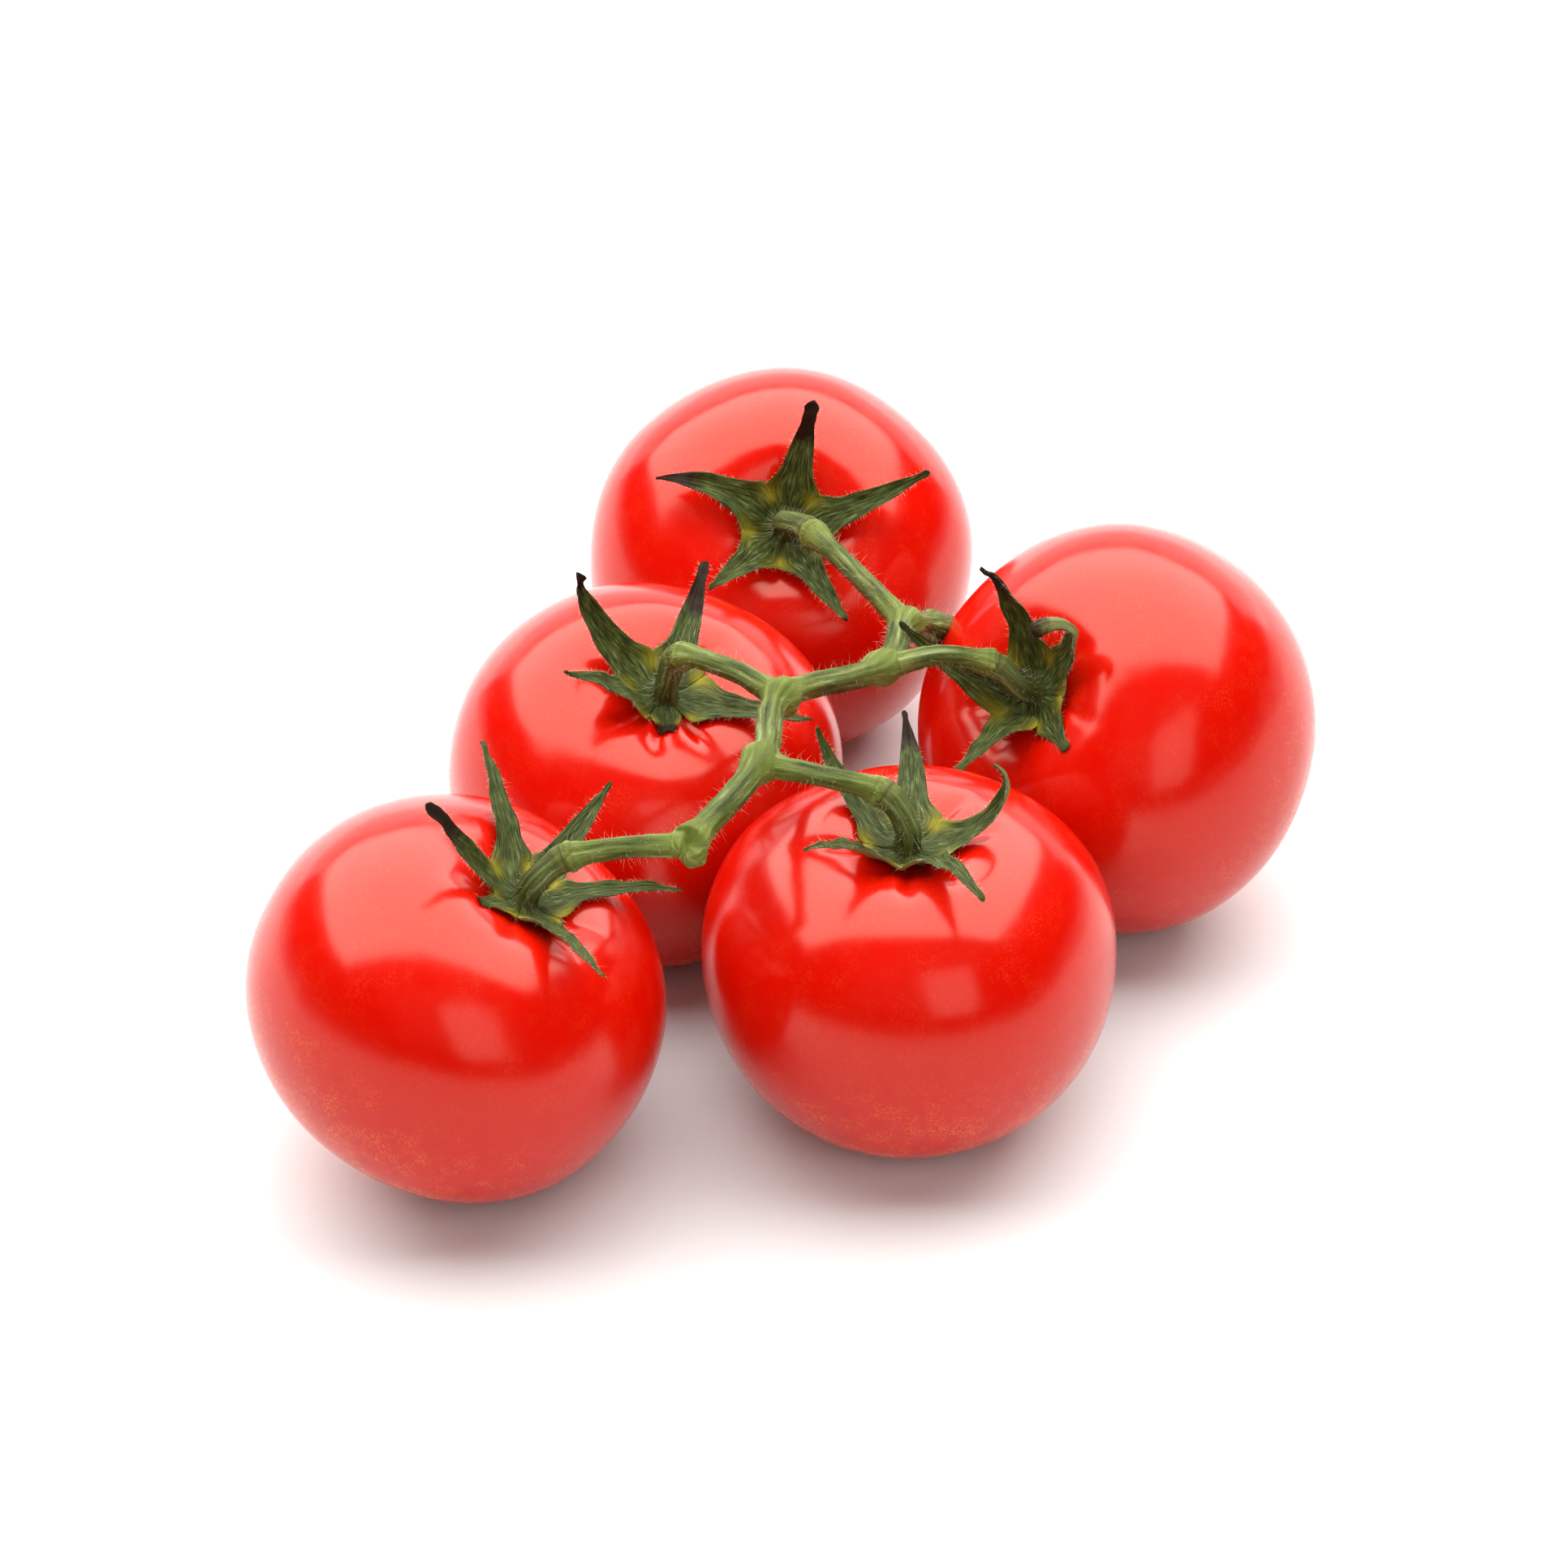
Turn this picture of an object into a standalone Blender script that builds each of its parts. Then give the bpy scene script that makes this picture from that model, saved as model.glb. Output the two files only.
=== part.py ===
"""Five ripe tomatoes on one cut truss, at rest on a flat surface.

The object is laid out in metres with +Z up. The fruits stand on small flat spots at z = 0, the
fruit stem (rachis) runs above the gap between them, and each fruit hangs on its own short stalk.
Every stalk has a knuckle, the swollen joint where a ripe fruit snaps off, and the two sides of that
joint are two pieces. Under each stalk lies a calyx of five or six sepals.
"""

import math

import bmesh
import bpy
import numpy as np

# ---- Driving dimensions, in metres and degrees ------------------------------------------------

FRUIT_DIAMETER = 0.0680  # across the widest part of a middling fruit
FRUIT_HEIGHT = 0.0580  # from the shoulder tops to the blossom end, before the stem cavity is sunk
SHOULDER_FULLNESS = 2.25  # 2 gives an ellipsoid, more gives squarer shoulders
CAVITY_DEPTH = 0.0062  # how far the stem end is sunk in
CAVITY_WIDTH = 0.0105  # distance from the stem axis at which the cavity has mostly run out
BLOSSOM_DIMPLE = 0.0010  # depth of the dimple at the blossom end
BLOSSOM_WIDTH = 0.0060
FLAT_SPOT_SINK = 0.0004  # how much of the skin is pressed flat where a fruit rests

RACHIS_DIAMETER = 0.0046  # the main fruit stem between its nodes
NODE_DIAMETER = 0.0060  # the main stem where a stalk leaves it
CUT_END_DIAMETER = 0.0052  # the main stem where it was cut from the plant
STALK_DIAMETER = 0.0037  # a fruit's stalk before the knuckle
KNUCKLE_DIAMETER = 0.0050  # the swelling at the knuckle
STALK_FOOT_DIAMETER = 0.0047  # the stalk just above the calyx
RECEPTACLE_DIAMETER = 0.0068  # the pad that joins the stalk to the fruit
RECEPTACLE_HEIGHT = 0.0008

SEPAL_WIDTH = 0.0058  # widest part of a middling sepal
SEPAL_THICKNESS = 0.0007
SEPAL_TIP_WIDTH = 0.0009
SEPAL_CUP = 0.10  # how far a sepal's edges rise above its middle, as a share of its width

PIECE_GAP = 0.0003  # between two pieces that touch
SKIN_CLEARANCE = 0.0005  # between the skin and what lies on it

FRUIT_SEGMENTS = 32
FRUIT_RINGS = 20
STEM_SIDES = 12

# The layout grows with the wider side of the fruits, so that neighbours never run into each other.
SPREAD = max(FRUIT_DIAMETER, FRUIT_HEIGHT * 1.15)

# ---- The five fruits --------------------------------------------------------------------------
# x and y are shares of SPREAD. Size and tall are shares of the middling fruit. Lean is how far the
# stem end tips from upright, toward the compass bearing (degrees counterclockwise from +X). Taper
# narrows the blossom end. Lobes are (count, share of the radius, bearing) of the swellings round
# the shoulder.

FRUITS = {
    "front_left": dict(
        x=-0.772, y=-0.675, size=1.000, tall=0.985, lean=29, bearing=-8, taper=0.02,
        lobes=((5, 0.008, 20), (2, 0.006, 60)),
    ),
    "middle_left": dict(
        x=-0.340, y=0.266, size=0.972, tall=1.000, lean=22, bearing=-67, taper=0.02,
        lobes=((5, 0.010, 35), (3, 0.012, 145)),
    ),
    "back": dict(
        x=-0.010, y=1.184, size=0.995, tall=1.000, lean=44, bearing=-87, taper=0.02,
        lobes=((5, 0.010, 10), (2, 0.008, 40)),
    ),
    "right": dict(
        x=0.826, y=0.385, size=1.015, tall=0.990, lean=50, bearing=-141, taper=0.02,
        lobes=((5, 0.010, 0), (2, 0.006, 90)),
    ),
    "front_right": dict(
        x=0.297, y=-0.482, size=0.990, tall=1.000, lean=5, bearing=-105, taper=0.06,
        lobes=((5, 0.010, 15), (3, 0.010, 150)),
    ),
}

# ---- The truss --------------------------------------------------------------------------------
# Points of the main stem from its cut end: x and y as shares of SPREAD, height as a share of
# FRUIT_HEIGHT, and the diameter there.

RACHIS = (
    ("cut_end", 0.362, 0.556, 0.795, CUT_END_DIAMETER),
    ("back_node", 0.300, 0.412, 0.914, NODE_DIAMETER),
    ("right_node", 0.235, 0.103, 1.008, NODE_DIAMETER),
    ("middle_left_node", -0.005, -0.088, 1.060, NODE_DIAMETER),
    ("front_right_node", -0.057, -0.382, 1.074, NODE_DIAMETER),
    ("front_left_node", -0.221, -0.699, 1.064, NODE_DIAMETER),
)
END_STUB = (-0.199, -0.690, 1.000)  # the dead tip of the main stem, past the last stalk

# For each fruit: the node its stalk leaves, the length, lean and bearing of the stalk above the
# calyx up to the knuckle, and how far the rest of the stalk arches up on its way.
STALKS = {
    "front_left": dict(node="front_left_node", length=0.0113, lean=43, bearing=10, arch=0.0008),
    "middle_left": dict(node="middle_left_node", length=0.0112, lean=20, bearing=-41, arch=0.0015),
    "back": dict(node="back_node", length=0.0115, lean=61, bearing=-64, arch=0.0005),
    "right": dict(node="right_node", length=0.0112, lean=49, bearing=-170, arch=0.0020),
    "front_right": dict(node="front_right_node", length=0.0120, lean=21, bearing=160, arch=0.0005),
}

# ---- The sepals -------------------------------------------------------------------------------
# Bearing is measured round the fruit's own stem axis. The sepal leaves the calyx at the angle
# "start" above the fruit's level and ends at "end"; "hook" is extra turn kept for the tip, and
# "sway" turns it sideways along the way. Width is a share of SEPAL_WIDTH.

SEPALS = {
    "front_left": (
        dict(bearing=195, length=0.0258, start=34, end=35, hook=0, sway=0, width=0.95),
        dict(bearing=117, length=0.0256, start=20, end=8, hook=-8, sway=-5, width=1.00),
        dict(bearing=68, length=0.0255, start=18, end=22, hook=0, sway=3, width=0.90),
        dict(bearing=27, length=0.0245, start=20, end=6, hook=-8, sway=-3, width=0.80),
        dict(bearing=290, length=0.0250, start=34, end=18, hook=0, sway=3, width=0.80),
        dict(bearing=240, length=0.0200, start=36, end=60, hook=30, sway=-5, width=0.80),
    ),
    "middle_left": (
        dict(bearing=151, length=0.0245, start=29, end=66, hook=30, sway=5, width=1.20),
        dict(bearing=76, length=0.0228, start=14, end=4, hook=0, sway=5, width=0.95),
        dict(bearing=206, length=0.0245, start=50, end=40, hook=0, sway=6, width=0.95),
        dict(bearing=346, length=0.0220, start=16, end=20, hook=0, sway=-3, width=1.00),
        dict(bearing=274, length=0.0080, start=30, end=-50, hook=-20, sway=0, width=0.95),
    ),
    "back": (
        dict(bearing=80, length=0.0208, start=34, end=40, hook=8, sway=-5, width=1.15),
        dict(bearing=149, length=0.0215, start=40, end=-4, hook=-24, sway=30, width=1.15),
        dict(bearing=13, length=0.0245, start=29, end=26, hook=0, sway=12, width=1.00),
        dict(bearing=226, length=0.0200, start=38, end=40, hook=0, sway=0, width=1.00),
        dict(bearing=297, length=0.0235, start=34, end=44, hook=8, sway=2, width=0.95),
    ),
    "right": (
        dict(bearing=66, length=0.0245, start=38, end=70, hook=20, sway=0, width=1.10),
        dict(bearing=350, length=0.0225, start=18, end=90, hook=80, sway=0, width=0.90),
        dict(bearing=290, length=0.0130, start=18, end=0, hook=-20, sway=0, width=1.00),
        dict(bearing=240, length=0.0210, start=54, end=42, hook=0, sway=5, width=1.05),
        dict(bearing=150, length=0.0204, start=60, end=36, hook=0, sway=-46, width=0.85),
    ),
    "front_right": (
        dict(bearing=134, length=0.0225, start=12, end=48, hook=18, sway=-9, width=0.95),
        dict(bearing=84, length=0.0255, start=13, end=5, hook=0, sway=14, width=1.05),
        dict(bearing=2, length=0.0240, start=14, end=80, hook=70, sway=12, width=0.95),
        dict(bearing=297, length=0.0250, start=46, end=0, hook=-6, sway=-2, width=0.90),
        dict(bearing=224, length=0.0240, start=46, end=30, hook=-8, sway=3, width=0.80),
    ),
}


# ---- Scene and helpers ------------------------------------------------------------------------


def clear_scene():
    """Removes every object of the scene."""
    for obj in list(bpy.data.objects):
        bpy.data.objects.remove(obj, do_unlink=True)


def new_collection(name, hidden=False):
    collection = bpy.data.collections.new(name)
    bpy.context.scene.collection.children.link(collection)
    collection.hide_render = hidden
    return collection


def new_material(name, colour, roughness, metallic=0.0):
    material = bpy.data.materials.new(name)
    material.use_nodes = True
    shader = material.node_tree.nodes["Principled BSDF"]
    shader.inputs["Base Color"].default_value = (*colour, 1.0)
    shader.inputs["Roughness"].default_value = roughness
    shader.inputs["Metallic"].default_value = metallic
    material.diffuse_color = (*colour, 1.0)
    return material


def add_object(name, mesh, material, location, collection):
    """Puts a finished mesh in the scene as one smooth-shaded piece."""
    mesh.name = name
    mesh.materials.clear()
    mesh.materials.append(material)
    for face in mesh.polygons:
        face.use_smooth = True
    obj = bpy.data.objects.new(name, mesh)
    obj.location = location
    collection.objects.link(obj)
    return obj


def direction(lean, bearing):
    """Unit vector that leans from upright toward a bearing."""
    lean, bearing = math.radians(lean), math.radians(bearing)
    return np.array([
        math.sin(lean) * math.cos(bearing),
        math.sin(lean) * math.sin(bearing),
        math.cos(lean),
    ])


def lean_matrix(lean, bearing):
    """Rotation that tips the upright axis toward a bearing, without spinning round it."""
    lean, bearing = math.radians(lean), math.radians(bearing)
    turn = np.array([
        [math.cos(bearing), -math.sin(bearing), 0.0],
        [math.sin(bearing), math.cos(bearing), 0.0],
        [0.0, 0.0, 1.0],
    ])
    tip = np.array([
        [math.cos(lean), 0.0, math.sin(lean)],
        [0.0, 1.0, 0.0],
        [-math.sin(lean), 0.0, math.cos(lean)],
    ])
    return turn @ tip @ turn.T


def vertex_array(bm):
    return np.array([vertex.co for vertex in bm.verts])


def set_vertices(bm, points):
    for vertex, point in zip(bm.verts, points):
        vertex.co = point


# ---- Fruits -----------------------------------------------------------------------------------


def skin(polar, turn, fruit):
    """Point of the skin at a polar angle from the stem end and a turn round the stem axis.

    The outline is a superellipse. The shoulder swells in lobes, the stem end is sunk in by a bell
    curve and the blossom end by a smaller one.
    """
    half_width = FRUIT_DIAMETER / 2 * fruit["size"]
    half_height = FRUIT_HEIGHT / 2 * fruit["size"] * fruit["tall"]
    sine, cosine = np.sin(polar), np.cos(polar)
    reach = (
        (np.abs(sine) / half_width) ** SHOULDER_FULLNESS
        + (np.abs(cosine) / half_height) ** SHOULDER_FULLNESS
    ) ** (-1 / SHOULDER_FULLNESS)
    radius, height = reach * sine, reach * cosine
    radius = radius * (1 - fruit["taper"] * np.clip(-height / half_height, 0, 1) ** 1.3)
    near_shoulder = np.exp(-(((np.degrees(polar) - 58) / 38) ** 2))
    swelling = sum(
        share * np.cos(count * (turn - math.radians(bearing)))
        for count, share, bearing in fruit["lobes"]
    )
    radius = radius * (1 + swelling * near_shoulder)
    height = height - CAVITY_DEPTH * np.exp(-((radius / CAVITY_WIDTH) ** 2)) * (cosine > 0)
    height = height + BLOSSOM_DIMPLE * np.exp(-((radius / BLOSSOM_WIDTH) ** 2)) * (cosine < 0)
    return np.stack([radius * np.cos(turn), radius * np.sin(turn), height], axis=-1)


def skin_height(radius, turn, fruit):
    """Height of the upper skin at a distance from the stem axis, found from a fine profile."""
    polar = np.linspace(0, math.pi / 2, 160)
    heights = np.empty(len(radius))
    for i, (distance, angle) in enumerate(zip(radius, turn)):
        profile = skin(polar, np.full_like(polar, angle), fruit)
        reach = np.hypot(profile[:, 0], profile[:, 1])
        heights[i] = np.interp(distance, reach, profile[:, 2])
    return heights


def fruit_points(fruit):
    """The fruit's ball of vertices, its rings drawn together round the stem cavity."""
    bm = bmesh.new()
    bmesh.ops.create_uvsphere(
        bm, u_segments=FRUIT_SEGMENTS, v_segments=FRUIT_RINGS, radius=1.0
    )
    ball = vertex_array(bm)
    share = np.arccos(np.clip(ball[:, 2], -1, 1)) / math.pi
    polar = math.pi * share**1.4
    turn = np.arctan2(ball[:, 1], ball[:, 0])
    points = skin(polar, turn, fruit) @ lean_matrix(fruit["lean"], fruit["bearing"]).T
    return bm, points


def place_fruits():
    """Where each fruit's centre stands, and the shift that brought the truss over the origin.

    A fruit stands where its lowest skin is just pressed into the floor. The shift puts the middle
    of all the fruits, seen from above, at x = y = 0.
    """
    centres, low, high = {}, [], []
    for name, fruit in FRUITS.items():
        bm, points = fruit_points(fruit)
        bm.free()
        height = -points[:, 2].min() - FLAT_SPOT_SINK
        centres[name] = np.array([fruit["x"] * SPREAD, fruit["y"] * SPREAD, height])
        low.append((points + centres[name]).min(axis=0))
        high.append((points + centres[name]).max(axis=0))
    shift = -(np.min(low, axis=0) + np.max(high, axis=0)) / 2
    shift[2] = 0.0
    return {name: centre + shift for name, centre in centres.items()}, shift


def build_fruit(name, fruit, centre, material, collection):
    bm, points = fruit_points(fruit)
    set_vertices(bm, points)
    cut = bmesh.ops.bisect_plane(
        bm,
        geom=bm.verts[:] + bm.edges[:] + bm.faces[:],
        dist=1e-7,
        plane_co=(0, 0, -centre[2]),
        plane_no=(0, 0, -1),
        clear_outer=True,
    )
    rim = [item for item in cut["geom_cut"] if isinstance(item, bmesh.types.BMEdge)]
    bmesh.ops.edgeloop_fill(bm, edges=rim)
    bmesh.ops.recalc_face_normals(bm, faces=bm.faces[:])
    mesh = bpy.data.meshes.new(name)
    bm.to_mesh(mesh)
    bm.free()
    return add_object(name, mesh, material, centre, collection)


# ---- Stems ------------------------------------------------------------------------------------


def smooth_path(points, per_span):
    """A curve through all the points, with a steady number of steps in each span.

    It is a centripetal spline: each span leaves and reaches its points along the line between
    their neighbours.
    """
    points = np.asarray(points, float)
    before = 2 * points[0] - points[1]
    after = 2 * points[-1] - points[-2]
    chain = np.vstack([before, points, after])
    path = []
    for a, b, c, d in zip(chain[:-3], chain[1:-2], chain[2:-1], chain[3:]):
        for step in range(per_span):
            t = step / per_span
            path.append(
                0.5 * (
                    2 * b
                    + (c - a) * t
                    + (2 * a - 5 * b + 4 * c - d) * t**2
                    + (3 * b - a - 3 * c + d) * t**3
                )
            )
    path.append(points[-1])
    return np.array(path)


def tube_mesh(name, path, radii):
    """A solid stem of changing thickness along a path, with its ends capped."""
    thickest = float(max(radii))
    curve = bpy.data.curves.new(name, "CURVE")
    curve.dimensions = "3D"
    curve.bevel_depth = thickest
    curve.bevel_resolution = (STEM_SIDES - 4) // 2
    curve.use_fill_caps = True
    spline = curve.splines.new("POLY")
    spline.points.add(len(path) - 1)
    for point, place, radius in zip(spline.points, path, radii):
        point.co = (*place, 1.0)
        point.radius = float(radius) / thickest
    guide = bpy.data.objects.new(name, curve)
    bpy.context.scene.collection.objects.link(guide)
    graph = bpy.context.evaluated_depsgraph_get()
    mesh = bpy.data.meshes.new_from_object(guide.evaluated_get(graph))
    bpy.data.objects.remove(guide, do_unlink=True)
    bpy.data.curves.remove(curve)
    bm = bmesh.new()
    bm.from_mesh(mesh)
    bmesh.ops.remove_doubles(bm, verts=bm.verts[:], dist=1e-6)
    bmesh.ops.recalc_face_normals(bm, faces=bm.faces[:])
    bm.to_mesh(mesh)
    bm.free()
    return mesh


def unite(base, others, cutters):
    """Joins other meshes to an object with exact Boolean unions and applies them."""
    for index, mesh in enumerate(others):
        helper = bpy.data.objects.new(f"{base.name}_branch_{index}", mesh)
        helper.hide_render = True
        helper.display_type = "WIRE"
        cutters.objects.link(helper)
        boolean = base.modifiers.new(f"join_{index}", "BOOLEAN")
        boolean.operation = "UNION"
        boolean.solver = "EXACT"
        boolean.object = helper


def truss_point(x, y, z, shift):
    """A point of the main stem from its shares of the layout's width and the fruits' height."""
    return np.array([x * SPREAD, y * SPREAD, z * FRUIT_HEIGHT]) + shift


def stalk_plan(name, fruit, centre, nodes):
    """Path of one stalk from its node to the fruit, split at the knuckle.

    Returns the lower half and the upper half, each as (path, radii).
    """
    plan = STALKS[name]
    axis = direction(fruit["lean"], fruit["bearing"])
    tip = lean_matrix(fruit["lean"], fruit["bearing"])
    pole = skin(np.array([0.0]), np.array([0.0]), fruit)[0]
    pad = tip @ pole + centre
    # The pad's rim sits higher on the cavity wall than its middle, so the rim sets the clearance.
    rim_height = skin_height(np.array([RECEPTACLE_DIAMETER / 2]), np.array([0.0]), fruit)[0]
    foot = pad + axis * (rim_height - pole[2] + SKIN_CLEARANCE)
    knuckle = pad + direction(plan["lean"], plan["bearing"]) * plan["length"]
    node = nodes[plan["node"]]
    middle = (node + knuckle) / 2 + np.array([0, 0, plan["arch"]])
    bend = foot + axis * (plan["length"] * 0.45)
    whole = smooth_path([node, middle, knuckle, bend, foot], 8)
    along = (whole[17] - whole[15]) / np.linalg.norm(whole[17] - whole[15])
    face = along * PIECE_GAP / 2
    square = along * KNUCKLE_DIAMETER / 5  # a short straight run, so both faces stand square
    clear = np.linalg.norm(whole - knuckle, axis=1) > KNUCKLE_DIAMETER * 0.36
    before, after = whole[:16][clear[:16]], whole[17:][clear[17:]]
    lower = np.vstack([before, knuckle - face - square, knuckle - face])
    upper = np.vstack([knuckle + face, knuckle + face + square, after])
    lower_share = np.linspace(0, 1, len(lower))
    swell = np.exp(-(((lower_share - 1.0) / 0.16) ** 2))
    root = np.exp(-((lower_share / 0.22) ** 2))
    lower_radii = (
        STALK_DIAMETER
        + (KNUCKLE_DIAMETER - STALK_DIAMETER) * swell
        + (RACHIS_DIAMETER - STALK_DIAMETER) * root
    ) / 2
    lower_radii[-1] *= 0.88
    upper_share = np.linspace(0, 1, len(upper))
    neck = np.exp(-((upper_share / 0.30) ** 2))
    flare = np.clip((upper_share - 0.80) / 0.20, 0, 1) ** 2
    upper_radii = (
        STALK_FOOT_DIAMETER
        + (KNUCKLE_DIAMETER - STALK_FOOT_DIAMETER) * neck
        + (RECEPTACLE_DIAMETER - STALK_FOOT_DIAMETER) * flare
    ) / 2
    upper_radii[0] *= 0.88
    return (lower, lower_radii), (upper, upper_radii)


def build_truss(stalks, nodes, stub_end, material, collection, cutters):
    """The main stem with the five stalks up to their knuckles: it grew as one piece."""
    points = [nodes[name] for name, *_ in RACHIS]
    path = smooth_path(points, 7)
    diameters = [row[4] for row in RACHIS]
    share = np.linspace(0, len(points) - 1, len(path))
    between = np.abs(share - np.round(share)) * 2
    radii = np.interp(share, range(len(points)), diameters) / 2
    slim = np.clip(between / 0.6, 0, 1)
    radii = radii + (RACHIS_DIAMETER / 2 - radii) * slim * (share > 0.5)
    main = tube_mesh("truss_stem", path, radii)
    truss = add_object("truss_stem", main, material, (0, 0, 0), collection)
    branches = [
        tube_mesh(f"branch_{name}", path, radii) for name, (path, radii) in stalks.items()
    ]
    last = nodes["front_left_node"]
    stub_path = np.linspace(last, stub_end, 4)
    stub_radii = np.linspace(NODE_DIAMETER * 0.46, RACHIS_DIAMETER * 0.42, 4)
    branches.append(tube_mesh("branch_stub", stub_path, stub_radii))
    unite(truss, branches, cutters)
    return truss


# ---- Sepals -----------------------------------------------------------------------------------


def sepal_sides(sepals):
    """Half the free angle on either side of each sepal, in radians: (clockwise, counterclockwise)."""
    bearings = [sepal["bearing"] % 360 for sepal in sepals]
    sides = []
    for bearing in bearings:
        ahead = min((other - bearing) % 360 for other in bearings if other != bearing)
        behind = min((bearing - other) % 360 for other in bearings if other != bearing)
        sides.append((math.radians(min(behind, 80) / 2), math.radians(min(ahead, 80) / 2)))
    return sides


def sepal_points(across, along, sepal, sides, fruit):
    """Places a sheet of vertices along a curving mid-rib, in the fruit's own frame.

    The mid-rib leaves the pad's edge and keeps turning at a steady rate, with a last turn for the
    tip. Where the sheet would sink into the skin it lies on the skin instead.
    """
    steps = 48
    s = (np.arange(steps) + 0.5) / steps
    rise = np.radians(sepal["start"] + (sepal["end"] - sepal["start"]) * s + sepal["hook"] * s**4)
    swing = np.radians(sepal["sway"]) * s
    pace = sepal["length"] / steps
    outward = np.concatenate([[0], np.cumsum(np.cos(rise) * np.cos(swing) * pace)])
    sideways = np.concatenate([[0], np.cumsum(np.cos(rise) * np.sin(swing) * pace)])
    upward = np.concatenate([[0], np.cumsum(np.sin(rise) * pace)])
    marks = np.linspace(0, 1, steps + 1)
    root = RECEPTACLE_DIAMETER / 2 + PIECE_GAP + 0.0002
    floor = skin_height(np.array([root]), np.array([0.0]), fruit)[0] + SKIN_CLEARANCE
    x = root + np.interp(along, marks, outward)
    y = np.interp(along, marks, sideways)
    z = floor + np.interp(along, marks, upward)
    turned = np.radians(sepal["sway"]) * along
    leaf = (1 - along) ** 0.75 * (1 + 0.6 * along)
    half = SEPAL_WIDTH / 2 * sepal["width"] * leaf + SEPAL_TIP_WIDTH / 2
    clockwise, counterclockwise = sides
    room = np.where(across < 0, math.tan(clockwise), math.tan(counterclockwise)) * x
    half = np.minimum(half, np.maximum(room - 1.5 * PIECE_GAP, 0.0006))
    x = x - np.sin(turned) * across * half
    y = y + np.cos(turned) * across * half
    z = z + SEPAL_CUP * 2 * half * across**2
    angle = math.radians(sepal["bearing"])
    placed = np.stack([
        x * math.cos(angle) - y * math.sin(angle),
        x * math.sin(angle) + y * math.cos(angle),
        z,
    ], axis=-1)
    distance = np.hypot(placed[:, 0], placed[:, 1])
    turn = np.arctan2(placed[:, 1], placed[:, 0])
    resting = skin_height(distance, turn, fruit) + SKIN_CLEARANCE
    placed[:, 2] = np.maximum(placed[:, 2], resting)
    return placed


def build_sepal(name, sepal, sides, fruit, centre, material, collection):
    bm = bmesh.new()
    bmesh.ops.create_grid(bm, x_segments=8, y_segments=2, size=0.5)
    sheet = vertex_array(bm)
    placed = sepal_points(sheet[:, 1] * 2, sheet[:, 0] + 0.5, sepal, sides, fruit)
    set_vertices(bm, placed @ lean_matrix(fruit["lean"], fruit["bearing"]).T)
    mesh = bpy.data.meshes.new(name)
    bm.to_mesh(mesh)
    bm.free()
    obj = add_object(name, mesh, material, centre, collection)
    solidify = obj.modifiers.new("thickness", "SOLIDIFY")
    solidify.thickness = SEPAL_THICKNESS
    solidify.offset = 1.0
    solidify.use_rim = True
    return obj


# ---- Assembly ---------------------------------------------------------------------------------


def main():
    clear_scene()
    parts = new_collection("tomato_truss")
    cutters = new_collection("cutters", hidden=True)
    red = new_material("tomato_skin", (0.62, 0.02, 0.01), 0.22)
    green = new_material("truss_stem_green", (0.17, 0.24, 0.05), 0.62)
    stalk_green = new_material("stalk_green", (0.12, 0.18, 0.04), 0.66)
    leaf_green = new_material("sepal_green", (0.10, 0.15, 0.04), 0.70)
    centres, shift = place_fruits()
    nodes = {name: truss_point(x, y, z, shift) for name, x, y, z, _ in RACHIS}
    lower_stalks = {}
    for name, fruit in FRUITS.items():
        centre = centres[name]
        build_fruit(f"fruit_{name}", fruit, centre, red, parts)
        lower, upper = stalk_plan(name, fruit, centre, nodes)
        lower_stalks[name] = lower
        mesh = tube_mesh(f"upper_stalk_{name}", *upper)
        add_object(f"upper_stalk_{name}", mesh, stalk_green, (0, 0, 0), parts)
        all_sides = sepal_sides(SEPALS[name])
        for number, (sepal, sides) in enumerate(zip(SEPALS[name], all_sides), start=1):
            build_sepal(
                f"sepal_{name}_{number}", sepal, sides, fruit, centre, leaf_green, parts
            )
    stub_end = truss_point(*END_STUB, shift)
    build_truss(lower_stalks, nodes, stub_end, green, parts, cutters)


main()
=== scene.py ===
"""Looks of a cut truss of five ripe tomatoes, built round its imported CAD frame.

The script is laid out as an add-on. Its operators each build one group of pieces: the fruits,
the truss stem, the upper stalks, the calyxes, the hairs and the studio. Every piece is a surface
worked out on a grid or a profile carried along a path, and stands where its CAD node stands.
"""

import math
from functools import partial

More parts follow.
